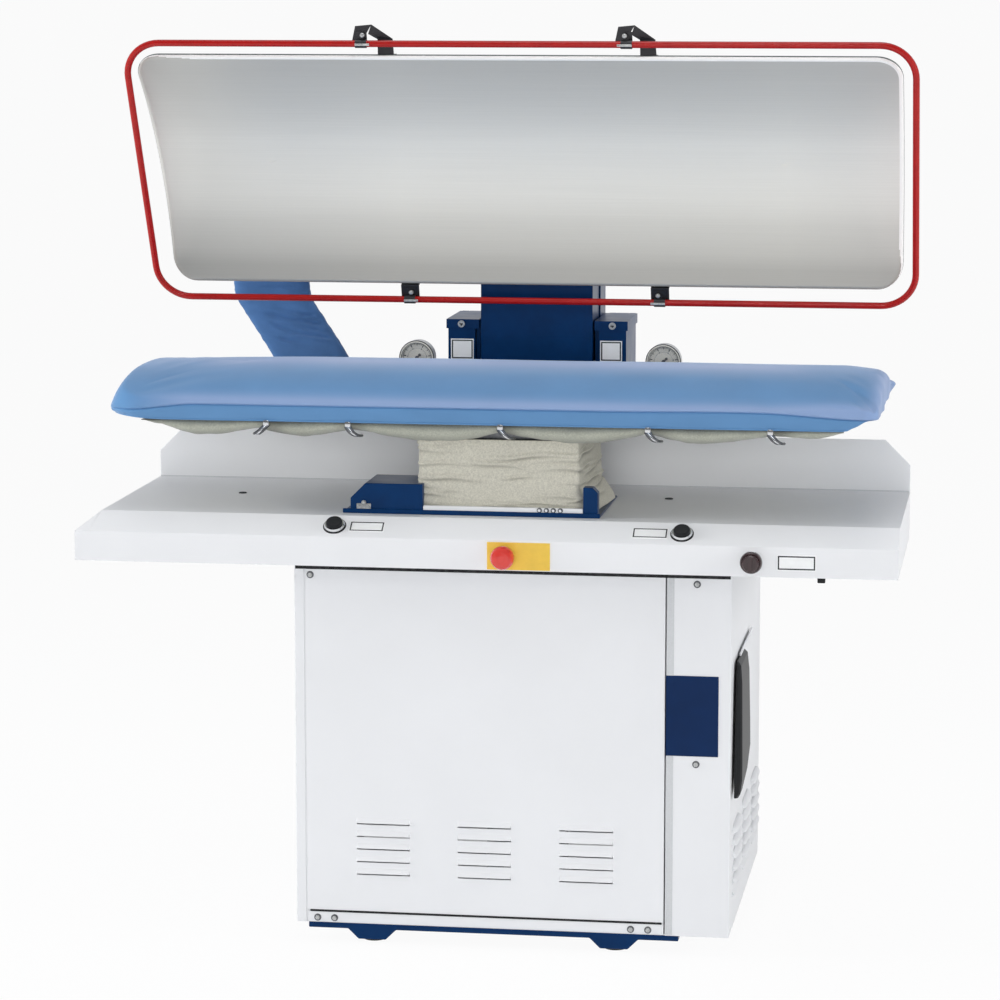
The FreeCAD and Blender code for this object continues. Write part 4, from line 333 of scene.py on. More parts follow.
def glossy_abs():
    # Injection-moulded red ABS from a polished tool: clear gloss over solid red, flow clouds 8 mm across.
    gloss = {"Roughness": 0.2, "IOR": 1.54, "Coat Weight": 0.3, "Coat Roughness": 0.08}
    return mottled("glossy_abs", gloss, (0.008, 2.0), between(colours().stop, 0.93), rough=(0.16, 0.26))


def printed_plate():
    # Screen-printed aluminium plate: flat yellow ink, slightly uneven in cover over about 15 mm.
    return mottled("printed_plate", {"Roughness": 0.38, "IOR": 1.5}, (0.015, 3.0),
                   between(colours().yellow, 0.93), rough=(0.32, 0.46))


def pale_nylon():
    # Moulded natural nylon: milky, a little light inside it, faint flow marks 5 mm apart.
    milky = {"Roughness": 0.4, "IOR": 1.53, "Subsurface Weight": 0.1, "Subsurface Scale": 0.002}
    return mottled("pale_nylon", milky, (0.005, 2.0), between(colours().collar, 0.92))


def brown_phenolic():
    # Pressed phenolic resin: dark red-brown with mottle about 4 mm across under a hard gloss.
    return mottled("brown_phenolic", {"Roughness": 0.27, "IOR": 1.6, "Coat Weight": 0.3}, (0.004, 4.0),
                   between(colours().phenolic, 0.75, 1.7), (0.35, 0.7), 0.7)


def label_film():
    # Printed polyester film: smooth white with a soft gloss, a faint curl of the adhesive over 12 mm.
    return mottled("label_film", {"Roughness": 0.35, "IOR": 1.55}, (0.012, 2.0),
                   between(colours().film, 0.95))


def black_ink():
    # Screen-printed black ink: dense and half matt, thinner in specks about 2 mm across.
    return mottled("black_ink", {"Roughness": 0.5, "IOR": 1.5}, (0.002, 2.0),
                   between(colours().print_ink, 1.0, 1.8), (0.4, 0.8))


def enamelled_plate():
    # Enamelled plate: flat dark blue under a smooth clear coat, with a slow wave about 60 mm long.
    gloss = {"Roughness": 0.35, "IOR": 1.45, "Specular IOR Level": 0.2}
    return mottled("enamelled_plate", gloss, (0.06, 2.0), between(colours().plate, 0.88, 1.08))


def dial_paper():
    # Printed gauge dial: warm white, matt, with a light fibre mottle drawn at 3 mm.
    return mottled("dial_paper", {"Roughness": 0.6, "IOR": 1.45}, (0.003, 3.0), between(colours().dial, 0.92))


def window_glass():
    # Drawn flat glass, 2 mm: so clear that only a weak reflection with a slow ripple, 30 mm long, shows it.
    return mottled("window_glass", {"Roughness": 0.02, "IOR": 1.45, "Alpha": 0.06}, (0.03, 1.0),
                   [(1, 1, 1, 1)] * 2, bump=(0.03, 0.0003))


def grey_sealant_and_shade():
    # Extruded grey PVC: soft and matt, with die lines drawn 2 mm apart along it.
    # The same grey makes the band beside the control strip, which is painted shade
    return mottled("grey_sealant_and_shade", {"Roughness": 0.6, "IOR": 1.5}, (0.002, 2.0),
                   between(colours().gasket, 0.93))


def moulded_rubber():
    # Moulded black rubber: matt, dusty grey on its worn places, mottled at 8 mm.
    return mottled("moulded_rubber", {"Roughness": 0.8, "IOR": 1.5}, (0.008, 4.0),
                   (linear("17181A"), linear("3A3B3C")), (0.4, 0.8))


# A wave texture of scale 1 repeats at this length in metres
WAVE = 0.314


def ribs(tree, spot, gap, waver, way):
    """A wave across one way, its ribs a gap in metres apart."""
    return add(tree, "TexWave", {"Vector": spot, "Scale": WAVE / gap, "Distortion": waver},
               bands_direction=way).outputs["Fac"]


def woven(tree, spot, gap, waver, *ways):
    """The height of threads that cross, a gap in metres apart."""
    warp, weft = (ribs(tree, spot, gap, waver, way) for way in ways)
    return add(tree, "Math", {0: warp, 1: weft}, operation="MULTIPLY").outputs[0]


def cotton_sateen():
    # Tightly woven cotton sateen, ironed smooth: soft blue with a silky sheen and a fine thread grid,
    # and a painted sheen in lilac along the crown and above the sewn crease.
    # Threads lie about 0.4 mm apart; they are drawn 2.4 mm apart so that the weave shows.
    made, tree, shader, spot = material("cotton_sateen", {
        "Roughness": 0.55, "IOR": 1.46, "Sheen Weight": 0.4, "Sheen Roughness": 0.3,
        "Sheen Tint": linear("DCE2F6")})
    parts = add(tree, "SeparateXYZ", {"Vector": spot})
    across = add(tree, "Math", {0: parts.outputs["Y"], 1: parts.outputs["Z"]}, operation="ADD")
    flat = add(tree, "CombineXYZ", {"X": parts.outputs["X"], "Y": across.outputs[0]})
    threads = woven(tree, flat.outputs[0], 0.0024, 0.6, "X", "Y")
    wash = add(tree, "TexNoise", {"Vector": spot, "Scale": 1 / 0.09, "Detail": 4.0})
    dyed = add(tree, "ValToRGB", {"Fac": wash.outputs[0]}, None,
               list(zip((0.3, 0.7), between(colours().cotton, 0.95, 1.03))))
    painted_sheen_share = add(tree, "Attribute", attribute_name="painted_sheen")
    add(tree, "MixRGB", {"Fac": painted_sheen_share.outputs["Fac"], "Color1": dyed.outputs[0], "Color2": colours().painted_sheen},
        shader.inputs["Base Color"])
    add(tree, "Bump", {"Height": threads, "Strength": 0.1, "Distance": 0.0004}, shader.inputs["Normal"])
    return made


def cotton_duck():
    # Plain-woven unbleached cotton duck, new: coarse, matt and cream.
    return duck("cotton_duck", colours().canvas)


def grey_duck_in_shade():
    # The same duck, greyer, and darker as painted shade under the buck.
    return duck("grey_duck_in_shade", colours().under)


def duck(name, canvas):
    # Duck is flecked with slubs about 3 mm long, and darkened by a painted shade that its points carry.
    # Threads lie about 0.8 mm apart; they are drawn 2 mm apart so that the weave shows.
    made, tree, shader, spot = material(name, {
        "Roughness": 0.9, "IOR": 1.45, "Sheen Weight": 0.2, "Sheen Roughness": 0.5})
    threads = woven(tree, spot, 0.002, 1.5, "X", "Z")
    slubs = add(tree, "TexNoise", {"Vector": spot, "Scale": 1 / 0.003, "Detail": 6.0, "Roughness": 0.75})
    tone = add(tree, "ValToRGB", {"Fac": slubs.outputs[0]}, None,
               list(zip((0.32, 0.66), between(canvas, 0.72, 1.08))))
    painted_shade = add(tree, "Attribute", attribute_name="painted_shade")
    add(tree, "MixRGB", {"Fac": painted_shade.outputs["Fac"], "Color1": tone.outputs[0],
                         "Color2": shaded(canvas, 0.22)}, shader.inputs["Base Color"])
    rough = add(tree, "Math", {0: threads, 1: slubs.outputs[0]}, operation="ADD")
    add(tree, "Bump", {"Height": rough.outputs[0], "Strength": 0.35, "Distance": 0.0007},
        shader.inputs["Normal"])
    return made


def cotton_drill():
    # Twill-woven cotton drill: mid blue, its diagonal ribs about 1 mm apart, drawn at 2.5 mm.
    made, tree, shader, spot = material("cotton_drill", {
        "Roughness": 0.82, "IOR": 1.46, "Sheen Weight": 0.25, "Sheen Roughness": 0.45})
    wash = add(tree, "TexNoise", {"Vector": spot, "Scale": 1 / 0.05, "Detail": 5.0, "Roughness": 0.6})
    add(tree, "ValToRGB", {"Fac": wash.outputs[0]}, shader.inputs["Base Color"],
        list(zip((0.3, 0.7), between(colours().drill, 0.86, 1.08))))
    twill = ribs(tree, spot, 0.0025, 0.8, "DIAGONAL")
    add(tree, "Bump", {"Height": twill, "Strength": 0.18, "Distance": 0.0005}, shader.inputs["Normal"])
    return made


# Which finish stands for each material slot of the record
SLOT_FINISH = {
    "white_enamel": powder_coated_steel, "navy_paint": stove_enamel, "polished_face": polished_aluminium,
    "cast_aluminium": cast_aluminium, "red_paint": gloss_enamel, "black_paint": black_paint,
    "black_plastic": moulded_abs, "zinc_steel": zinc_plated_steel, "dark_steel": oiled_steel,
    "chrome": chromed_steel, "blue_cotton": cotton_sateen, "blue_sheath": cotton_drill, "canvas": cotton_duck,
    "felt": cotton_duck, "yellow_plate": printed_plate, "red_plastic": glossy_abs, "pale_plastic": pale_nylon,
    "brown_plastic": brown_phenolic, "bronze": sintered_bronze, "rubber": moulded_rubber,
    "galvanised": galvanised_steel,
}


# Mesh helpers

def piece(name, shape, *makers, smooth=True, tones=None):
    """A new object at the origin from (points, faces), with its finishes; tones picks one for each face."""
    points, faces = shape
    mesh = bpy.data.meshes.new(name)
    mesh.from_pydata([tuple(p) for p in points], [], faces)
    made = bpy.data.objects.new(name, mesh)
    bpy.context.scene.collection.objects.link(made)
    for maker in makers:
        mesh.materials.append(finish(maker))
    mesh.polygons.foreach_set("use_smooth", [smooth] * len(faces))
    if tones is not None:
        mesh.polygons.foreach_set("material_index", tones)
    tidy = bmesh.new()
    tidy.from_mesh(mesh)
    bmesh.ops.recalc_face_normals(tidy, faces=tidy.faces)
    tidy.to_mesh(mesh)
    tidy.free()
    return made


def settle(made, body, slot, *nodes):
    """Puts a piece on its body and hides the nodes it stands for; the slot is not used."""
    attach(made, body)
    if nodes:
        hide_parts(*nodes)
    return made


def fit(name, shape, slot, *makers, body="cabinet", nodes=(), smooth=False, tones=None):
    """Makes a rigid piece and settles it; without a maker it takes its slot's finish."""
    made = piece(name, shape, *(makers or [SLOT_FINISH[slot]]), smooth=smooth, tones=tones)
    return settle(made, body, slot, *nodes)


def point_values(made, name, values):
    """Gives each point of a piece a number that its finish reads."""
    made.data.attributes.new(name, "FLOAT", "POINT").data.foreach_set("value", values)


def thickened(made, thick):
    """Gives a single skin a thickness inwards."""
    shell = made.modifiers.new("thickness", "SOLIDIFY")
    shell.thickness = thick
    shell.offset = -1


def dress(edge, *names, maker=None):
    """Gives solids one finish or their slot's, and softens the edges by a bevel where edge is above zero."""
    for name in names:
        target = NODES[name]
        for place in target.material_slots:
            place.material = finish(maker or SLOT_FINISH[place.material.name])
        if edge > 0:
            weld = target.modifiers.new("weld", "WELD")
            weld.merge_threshold = WELD
            flat = target.modifiers.new("flat", "DECIMATE")
            flat.decimate_type = "DISSOLVE"
            flat.angle_limit = math.radians(1)
            soft = target.modifiers.new("edge", "BEVEL")
            soft.width = edge
            soft.segments = 2
            soft.limit_method = "ANGLE"
            soft.angle_limit = math.radians(40)
            soft.harden_normals = True
            target.modifiers.new("shade", "WEIGHTED_NORMAL").keep_sharp = True


def joined(*shapes):
    """Several (points, faces) shapes as one."""
    points, faces = [], []
    for some, sides in shapes:
        start = len(points)
        points += list(some)
        faces += [[start + corner for corner in side] for side in sides]
    return points, faces


def moved(shape, matrix):
    return [matrix @ Vector(p) for p in shape[0]], shape[1]


def lofted(rings, caps=True, zipped=None):
    """A skin over closed rings of one length; zipped is where a long thin end starts to close like a zip."""
    count = len(rings[0])
    points = [p for ring in rings for p in ring]
    faces = []
    for level in range(len(rings) - 1):
        low, high = level * count, (level + 1) * count
        for here in range(count):
            there = (here + 1) % count
            faces.append([low + here, low + there, high + there, high + here])
    for start in ((0, (len(rings) - 1) * count) if caps else ()):
        if zipped is None:
            faces.append([start + here for here in range(count)])
            continue
        for step in range(count // 2):
            ahead, back = (zipped + step) % count, (zipped - step) % count
            after, before = (zipped + step + 1) % count, (zipped - step - 1) % count
            loop = list(dict.fromkeys([ahead, after, before, back]))
            if len(loop) > 2:
                faces.append([start + corner for corner in loop])
    return points, faces


def lathe(profile, sides=48):
    """A turned shape about Z from (radius, height) pairs in millimetres."""
    rings = []
    for radius, height in profile:
        turn = [2 * math.pi * number / sides for number in range(sides)]
        rings.append([(radius * MM * math.cos(a), radius * MM * math.sin(a), height * MM) for a in turn])
    return lofted(rings)


def rod(path, radius, sides=14):
    """A round rod along points."""
    spots = [Vector(p) for p in path]
    rings, side = [], None
    for number, spot in enumerate(spots):
        ahead = (spots[min(number + 1, len(spots) - 1)] - spots[max(number - 1, 0)]).normalized()
        side = (ahead.orthogonal() if side is None else side - ahead * side.dot(ahead)).normalized()
        other = ahead.cross(side)
        turn = [2 * math.pi * step / sides for step in range(sides)]
        rings.append([spot + side * (radius * math.cos(a)) + other * (radius * math.sin(a)) for a in turn])
    return lofted(rings)


def slab(low, high, edge=0.001, steps=2):
    """A block between two corners with rounded edges."""
    shape = bmesh.new()
    bmesh.ops.create_cube(shape, size=1.0)
    low, high = Vector(low), Vector(high)
    for corner in shape.verts:
        corner.co = Vector(low[axis] + (corner.co[axis] + 0.5) * (high[axis] - low[axis])
                           for axis in range(3))
    bmesh.ops.bevel(shape, geom=shape.edges[:], offset=edge, segments=steps, affect="EDGES", profile=0.5)
    shape.verts.index_update()
    made = [v.co.copy() for v in shape.verts], [[v.index for v in f.verts] for f in shape.faces]
    shape.free()
    return made


ARC_STEPS, LONG_STEPS, SHORT_STEPS = 12, 90, 30
ZIP_START = ARC_STEPS + SHORT_STEPS // 2  # the middle of the right side in outline()


def outline(corners, inset=0.0, arc_steps=ARC_STEPS, short_steps=SHORT_STEPS, least=0.03):
    """Points round a four-cornered plan of (x, y, radius), anticlockwise, set in by one amount."""
    spots = [Vector(corner[:2]) for corner in corners]
    lines = []
    for number, spot in enumerate(spots):
        along = (spots[(number + 1) % 4] - spot).normalized()
        lines.append((spot + Vector((-along.y, along.x)) * inset, along))
    inner = []
    for number in range(4):
        (p, d), (q, e) = lines[number - 1], lines[number]
        gap = q - p
        inner.append(p + d * ((gap.x * e.y - gap.y * e.x) / (d.x * e.y - d.y * e.x)))
    arcs = []
    most = 0.4 * min((inner[number] - inner[number - 1]).length for number in range(4))
    for number, spot in enumerate(inner):
        radius = min(max(corners[number][2] - inset, least), most)
        back = (inner[number - 1] - spot).normalized()
        ahead = (inner[(number + 1) % 4] - spot).normalized()
        half = back.angle(ahead) / 2
        centre = spot + (back + ahead).normalized() * (radius / math.sin(half))
        first = spot + back * (radius / math.tan(half)) - centre
        start, sweep = math.atan2(first.y, first.x), math.pi - 2 * half
        arcs.append([centre + Vector((math.cos(start + sweep * k / arc_steps),
                                      math.sin(start + sweep * k / arc_steps))) * radius
                     for k in range(arc_steps + 1)])
    ring = []
    for number in range(4):
        steps = short_steps if number % 2 == 0 else LONG_STEPS
        start, end = arcs[number][-1], arcs[(number + 1) % 4][0]
        ring += arcs[number] + [start.lerp(end, k / steps) for k in range(1, steps)]
    return ring


def outward(ring):
    """The unit vectors that point out of a closed anticlockwise plan at each of its points."""
    ways = []
    for number in range(len(ring)):
        back, ahead = ring[number - 1], ring[(number + 1) % len(ring)]
        ways.append(Vector((ahead.y - back.y, back.x - ahead.x)).normalized())
    return ways


def smooth_step(value):
    value = min(1.0, max(0.0, value))
    return value * value * (3 - 2 * value)


def rounded_line(spots, steps):
    """A smooth run of points through spots, by Catmull-Rom."""
    spots = [Vector(p) for p in spots]
    line = []
    for number in range(len(spots) - 1):
        a, b = spots[max(number - 1, 0)], spots[number]
        c, e = spots[number + 1], spots[min(number + 2, len(spots) - 1)]
        for step in range(steps):
            t = step / steps
            line.append(0.5 * (2 * b + (c - a) * t + (2 * a - 5 * b + 4 * c - e) * t * t
                               + (3 * b - a - 3 * c + e) * t ** 3))
    return line + [spots[-1]]


def blown(made, held, pressure, frames, cap):
    """Lets air pressure fill a closed cloth for some frames, then moves its points by that, up to a cap."""
    scene = bpy.context.scene
    group = made.vertex_groups.new(name="held")
    group.add(held, 1.0, "REPLACE")
    cloth = made.modifiers.new("cloth", "CLOTH")
    for key, value in {"quality": 6, "mass": 0.25, "tension_stiffness": 60, "compression_stiffness": 60,
                       "shear_stiffness": 20, "bending_stiffness": 2, "use_pressure": True,
                       "uniform_pressure_force": pressure, "vertex_group_mass": "held"}.items():
        setattr(cloth.settings, key, value)
    cloth.settings.effector_weights.gravity = 0
    cloth.point_cache.frame_start, cloth.point_cache.frame_end = 1, frames
    for number in range(1, frames + 1):
        scene.frame_set(number)
    shaped = made.evaluated_get(bpy.context.evaluated_depsgraph_get())
    after = np.zeros(len(made.data.vertices) * 3)
    shaped.data.vertices.foreach_get("co", after)
    before = np.zeros_like(after)
    made.data.vertices.foreach_get("co", before)
    step = (after - before).reshape(-1, 3)
    far = np.linalg.norm(step, axis=1, keepdims=True)
    step *= np.minimum(1.0, cap / np.maximum(far, 1e-9))
    made.modifiers.remove(cloth)
    made.vertex_groups.remove(group)
    made.data.vertices.foreach_set("co", before + step.ravel())
    made.data.update()
    scene.frame_set(1)


# Stage

class PRESS_OT_stage(bpy.types.Operator):
    """Sets the pale floor, the soft lamps and the camera"""

    bl_idname = "press.stage"
    bl_label = "Stage"

    def execute(self, context):
        scene = context.scene
        scene.view_settings.view_transform = "Standard"
        world = bpy.data.worlds.new("studio")
        scene.world = world
        world.use_nodes = True
        # A white studio with a dim wall behind the camera, so that faces turned to it reflect little
        tree = world.node_tree
        sky = tree.nodes["Background"]
        sky.inputs["Color"].default_value = linear("F6F8FB")
        ahead = add(tree, "SeparateXYZ", {"Vector": add(tree, "TexCoord").outputs["Generated"]})
        wall = add(tree, "MapRange", {"Value": ahead.outputs["Y"], "From Min": -0.85, "From Max": 0.1,
                                      "To Min": -0.12, "To Max": 0.6})
        dimmed = add(tree, "Math", {0: wall.outputs[0], 1: add(tree, "LightPath").outputs["Is Glossy Ray"]},
                     operation="MULTIPLY")
        add(tree, "Math", {0: dimmed.outputs[0], 1: 0.3}, sky.inputs["Strength"], operation="ADD")
        reach = 300.0
        corners = [(-reach, -reach, 0), (reach, -reach, 0), (reach, reach, 0), (-reach, reach, 0)]
        floor = piece("studio_floor", (corners, [[0, 1, 2, 3]]), floor_paper)
        for name, place, aim, size, watts in (
                ("left", (-4.0, -0.9, 1.8), (0, -0.2, 0.8), 2.0, 92),
                ("right", (4.2, -0.9, 1.5), (0, -0.2, 0.8), 2.0, 66),
                ("front", (0.3, -6.4, 1.15), (0.0, -0.1, 0.8), 2.2, 101),
                ("raised", (0.0, -5.2, 3.1), (0, -0.2, 0.8), 0.9, 18),
                ("top", (0.2, -0.6, 4.4), (0, -0.1, 0.8), 2.4, 36)):
            lamp = bpy.data.lights.new(name, "AREA")
            lamp.shape = "SQUARE"
            lamp.size = size
            lamp.energy = watts
            stand = bpy.data.objects.new(name, lamp)
            scene.collection.objects.link(stand)
            stand.location = place
            stand.visible_glossy = name in ("raised", "top")
            stand.rotation_mode = "QUATERNION"
            stand.rotation_quaternion = (Vector(aim) - Vector(place)).to_track_quat("-Z", "Y")
        lens = bpy.data.cameras.new("camera")
        lens.lens = 131.69
        lens.sensor_width = 36.0
        lens.clip_end = 900.0
        camera = bpy.data.objects.new("camera", lens)
        scene.collection.objects.link(camera)
        camera.location = (0.938, -6.386, 1.707)
        camera.rotation_euler = (math.radians(81.56), 0.0, math.radians(8.56))
        scene.camera = camera
        return {"FINISHED"}


def floor_paper():
    # Matt white studio paper: for the camera and for reflections it is whitened, and it keeps the shadow.
    made, tree, shader, _ = material("floor_paper", {"Roughness": 0.9, "Base Color": linear("F2F3F5")})
    rays = add(tree, "LightPath").outputs
    seen = add(tree, "Math", {0: rays["Is Camera Ray"], 1: rays["Is Glossy Ray"]}, operation="MAXIMUM")
    seen = add(tree, "Math", {0: seen.outputs[0], 1: rays["Is Transmission Ray"]}, operation="MAXIMUM")
    whitened = add(tree, "Math", {0: seen.outputs[0], 1: 0.94}, operation="MULTIPLY")
    white = add(tree, "Emission", {"Color": (1, 1, 1, 1), "Strength": 1.0})
    output = tree.nodes["Material Output"]
    add(tree, "MixShader", {0: whitened.outputs[0], 1: shader.outputs[0], 2: white.outputs[0]},
        output.inputs["Surface"])
    return made


# Cabinet and table

def label_plate(name, wide, high, place):
    """A bare film plate with a printed line inside its edge, drawn flat at the origin and put in place."""
    line, margin, edge, film = sizes().border, 0.0018, 0.0004, 0.0007
    rims = [(0.0, 0.0), (0.0, edge), (margin, film), (margin + line, film), (margin + line + 0.0001, film)]
    rings = []
    for inset, level in rims:
        x, y = wide / 2 - inset, high / 2 - inset
        rings.append([(-x, -y, level), (x, -y, level), (x, y, level), (-x, y, level)])
    shape = moved(lofted(rings), place)
    # The printed line is the third band of four faces
    tones = [1 if number // 4 == 2 else 0 for number in range(len(shape[1]))]
    fit(name, shape, "white_enamel", label_film, black_ink, tones=tones)


def hex_screws(places, radius, height):
    """The round washers and the hexagon heads of screws, drawn along Z and put in their places."""
    washer = lathe([(radius * 1.5, 0), (radius * 1.5, 0.7), (radius * 1.35, 0.9)], 28)
    head = lathe([(radius * 0.94, 0.8), (radius, 1.2), (radius, height - 0.5), (radius * 0.86, height)], 6)
    return [joined(*[moved(part, place) for place in places]) for part in (washer, head)]


# The table's folds, and the middle and slope of the strip along its front
TABLE_TOP, TABLE_FRONT, TABLE_LIP = 0.762, -0.352, 0.681
STRIP_Y, STRIP_Z, STRIP_SLOPE = -0.329, 0.747, 33.11


def facing(x, y, z, slope=90):
    """The place of a piece drawn flat at the origin and tipped up to face the front."""
    return Matrix.Translation((x, y, z)) @ Matrix.Rotation(math.radians(slope), 4, "X")


def on_strip(x):
    """The place of a piece drawn flat at the origin and laid on the table's sloping strip."""
    return facing(x, STRIP_Y, STRIP_Z, STRIP_SLOPE)


class PRESS_OT_table(bpy.types.Operator):
    """Dresses the folded table and its backsplash, and adds the plugs, a corner, the sealant and a clip"""

    bl_idname = "press.table"
    bl_label = "Table"

    def execute(self, context):
        dress(sizes().edge, "table_top", "backsplash")
        plug = lathe([(7.5, -0.2), (7.5, 0.6), (6.4, 1.6), (3.4, 2.0), (3.2, 1.4), (0.4, 1.4)], 28)
        plugs = joined(*[moved(plug, Matrix.Translation((x, y, TABLE_TOP)))
                         for x, y in ((-0.476, -0.072), (0.283, -0.032))])
        fit("table_plugs", plugs, "black_plastic", smooth=True)
        corner = [(-0.6735, -0.306, TABLE_TOP - 0.0002), (-0.6868, TABLE_FRONT, 0.732),
                  (-0.710, TABLE_FRONT, TABLE_LIP), (-0.710, TABLE_FRONT, 0.732)]
        fit("table_corner", (corner, [[0, 1, 3], [1, 2, 3], [0, 3, 2], [0, 2, 1]]), "white_enamel")
        seam = slab((-0.672, 0.1162, TABLE_TOP - 0.0002), (0.699, 0.1182, TABLE_TOP + 0.0022), 0.0006)
        fit("splash_sealant", seam, "rubber", grey_sealant_and_shade)
        clip = slab((0.5655, TABLE_FRONT + 0.0018, 0.6725), (0.5785, TABLE_FRONT + 0.012, 0.6900), 0.0012)
        fit("edge_clip", clip, "black_plastic")
        return {"FINISHED"}


# Vent cowl on the right side from its top down: level, front and rear edge, and how far out it stands
SIDE_X = 0.4205
COWL = [(0.507, -0.205, -0.070, 0.423), (0.500, -0.212, -0.062, 0.428), (0.470, -0.222, -0.058, 0.431),
        (0.380, -0.234, -0.056, 0.433), (0.335, -0.240, -0.060, 0.434), (0.305, -0.243, -0.120, 0.434),
        (0.282, -0.245, -0.185, 0.431), (0.275, -0.243, -0.210, 0.427)]


class PRESS_OT_cabinet(bpy.types.Operator):
    """Dresses the cabinet's panels and base, and adds the cowl, screws, a seal, a painted shadow strip, a
    painted shade band, hoods and blank plate
    """

    bl_idname = "press.cabinet"
    bl_label = "Cabinet"

    def execute(self, context):
        dress(0.8 * MM, "front_door", "cabinet_right_side")
        dress(sizes().edge, "cabinet_left_side", "control_strip", "cabinet_rear_panel", "cabinet_floor",
              "front_frame", "base_frame", "foot_pads")
        dress(0, "cabinet_top_frame")
        rings = [[(SIDE_X, rear, level), (out - 0.006, rear, level), (out, rear - 0.012, level),
                  (out, front + 0.004, level), (out - 0.003, front, level), (SIDE_X, front, level)]
                 for level, front, rear, out in COWL]
        fit("side_cowl", lofted(rings), "black_plastic", nodes=["vent_cowl"])
        fit("vent_blank", slab((0.4200, -0.150, 0.284), (0.4228, 0.106, 0.512), 0.0008), "white_enamel")
        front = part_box("control_strip")[0].y
        spots = [facing(x, front, z) for x, z in sorted(spots_of("panel_screws"))]
        washers, heads = hex_screws(spots, 4.2, 3.6)
        fit("panel_screw_heads", heads, "zinc_steel", nodes=["panel_screws"])
        fit("panel_screw_washers", washers, "dark_steel")
        # The upper black strip, under the table's lip, is a painted shadow; the lower one is a seal at the
        # door's foot
        seal_and_shadow_strips = joined(slab((-0.318, front - 0.0012, 0.0545), (0.300, front + 0.0002, 0.0582), 0.0005),
                       slab((-0.340, front - 0.0012, 0.6620), (0.414, front + 0.0002, 0.6735), 0.0005))
        fit("door_seal_and_shadow_strip", seal_and_shadow_strips, "rubber")
        # Painted shade: a grey band beside the control strip stands for the shade of the strip's fold
        gasket = slab((0.3054, front - 0.0009, 0.037), (0.3180, front + 0.0002, 0.6615), 0.0006)
        fit("strip_shade_band", gasket, "rubber", grey_sealant_and_shade)
        hoods = joined(*[hood(y, 0.117 + 0.0225 * row) for y in (-0.150, 0.040, 0.230) for row in range(5)])
        fit("side_louvre_hoods", hoods, "white_enamel", smooth=True)
        blank = slab((0.305, front - 0.0012, 0.353), (0.395, front + 0.0004, 0.493), 0.0005)
        fit("blank_plate", blank, "navy_paint", enamelled_plate)
        return {"FINISHED"}


def hood(y, z):
    """One pressed hood over a louvre of the right side: rounded ends, a full top and a lip over the slit."""
    section = ((0, 12), (3, 11.4), (6, 9.4), (8.4, 6.2), (9.4, 2.8), (9.2, 0.6), (7.8, 0), (0, 0))
    half, root, steps = 0.0635, 0.4155, 12
    rings = []
    for step in range(-steps, steps + 1):
        along = step / steps
        full = (math.sqrt(max(0.0, 1 - abs(along) ** 6)) + 0.02) * MM
        rings.append([Vector((root + out * full, y + along * half, z + up * full - MM))
                      for out, up in section])
    return lofted(rings)


def spots_of(name):
    """The middles, across X and Z, of the separate solids in a node."""
    shape = bmesh.new()
    shape.from_mesh(NODES[name].data)
    bmesh.ops.remove_doubles(shape, verts=shape.verts, dist=WELD)
    left, spots = set(shape.verts), []
    while left:
        island, edge = set(), [left.pop()]
        while edge:
            corner = edge.pop()
            island.add(corner)
            for near in (link.other_vert(corner) for link in corner.link_edges):
                if near in left:
                    left.remove(near)
                    edge.append(near)
        xs, zs = [v.co.x for v in island], [v.co.z for v in island]
        spots.append(((min(xs) + max(xs)) / 2, (min(zs) + max(zs)) / 2))
    shape.free()
    return spots


class PRESS_OT_controls(bpy.types.Operator):
    """Dresses the push buttons, the stop button and the selector, and adds gaskets and bare label plates"""

    bl_idname = "press.controls"
    bl_label = "Hand controls"

    def execute(self, context):
        dress(0.5 * MM, "left_button", "right_button", "estop_plate", "selector_knob")
        dress(0, "control_bezels", "estop_collar", "estop_plunger", "estop_button")
        rings = []
        for side in ("left", "right"):
            low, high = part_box(f"{side}_button")
            rings.append(moved(ring_band(18.2, 19.9, 0.8, 1.0), on_strip((low.x + high.x) / 2)))
        fit("button_gaskets", joined(*rings), "rubber")
        selector_x, selector_z = 0.455, 0.706
        skirt = lathe_loop([(14.6, 0), (18.6, 0), (18.8, 3), (18.0, 7), (16.4, 9.4), (14.6, 10)])
        skirt = moved(skirt, facing(selector_x, TABLE_FRONT - 0.0054, selector_z))
        fit("selector_skirt", skirt, "brown_plastic", body="selector", smooth=True)
        for name, x in (("left_strip_label", -0.203), ("right_strip_label", 0.282)):
            label_plate(name, 0.061, 0.026, on_strip(x))
        label_plate("selector_label", 0.066, 0.027, facing(0.5305, TABLE_FRONT, selector_z))
        return {"FINISHED"}


# Saddle, pedestal and buck

class PRESS_OT_saddle(bpy.types.Operator):
    """Dresses the saddle and the pedestal, and adds the latch, a white strip behind the lip and the bolts on
    the saddle
    """

    bl_idname = "press.saddle"
    bl_label = "Saddle"

    def execute(self, context):
        dress(1.2 * MM, "saddle", "pedestal")
        face = -0.274
        lever = [(-0.226, face - 0.004, 0.774), (-0.212, face - 0.005, 0.776), (-0.207, face - 0.004, 0.772)]
        stud = lathe([(4, 0), (4, 3), (3, 4), (0.3, 4.2)], 24)
        latch = joined(slab((-0.231, face - 0.002, 0.769), (-0.206, face, 0.779), 0.0008),
                       moved(stud, facing(-0.218, face - 0.002, 0.781)), rod(lever, 0.0016))
        fit("saddle_latch", latch, "zinc_steel", smooth=True)
        # A white strip just behind the saddle's lip, drawn for the pale line along it
        pale_strip = slab((-0.1155, face + 0.0002, 0.7650), (0.1605, -0.2645, 0.7772), 0.0012)
        fit("saddle_pale_strip", pale_strip, "white_enamel")
        spots = [facing(x, face + 0.0002, 0.7735) for x in (0.086, 0.098, 0.110, 0.122)]
        washers, bolts = hex_screws(spots, 3.0, 3.4)
        fit("saddle_bolts", bolts, "zinc_steel", chromed_steel)
        fit("saddle_washers", washers, "zinc_steel", oiled_steel)
        return {"FINISHED"}


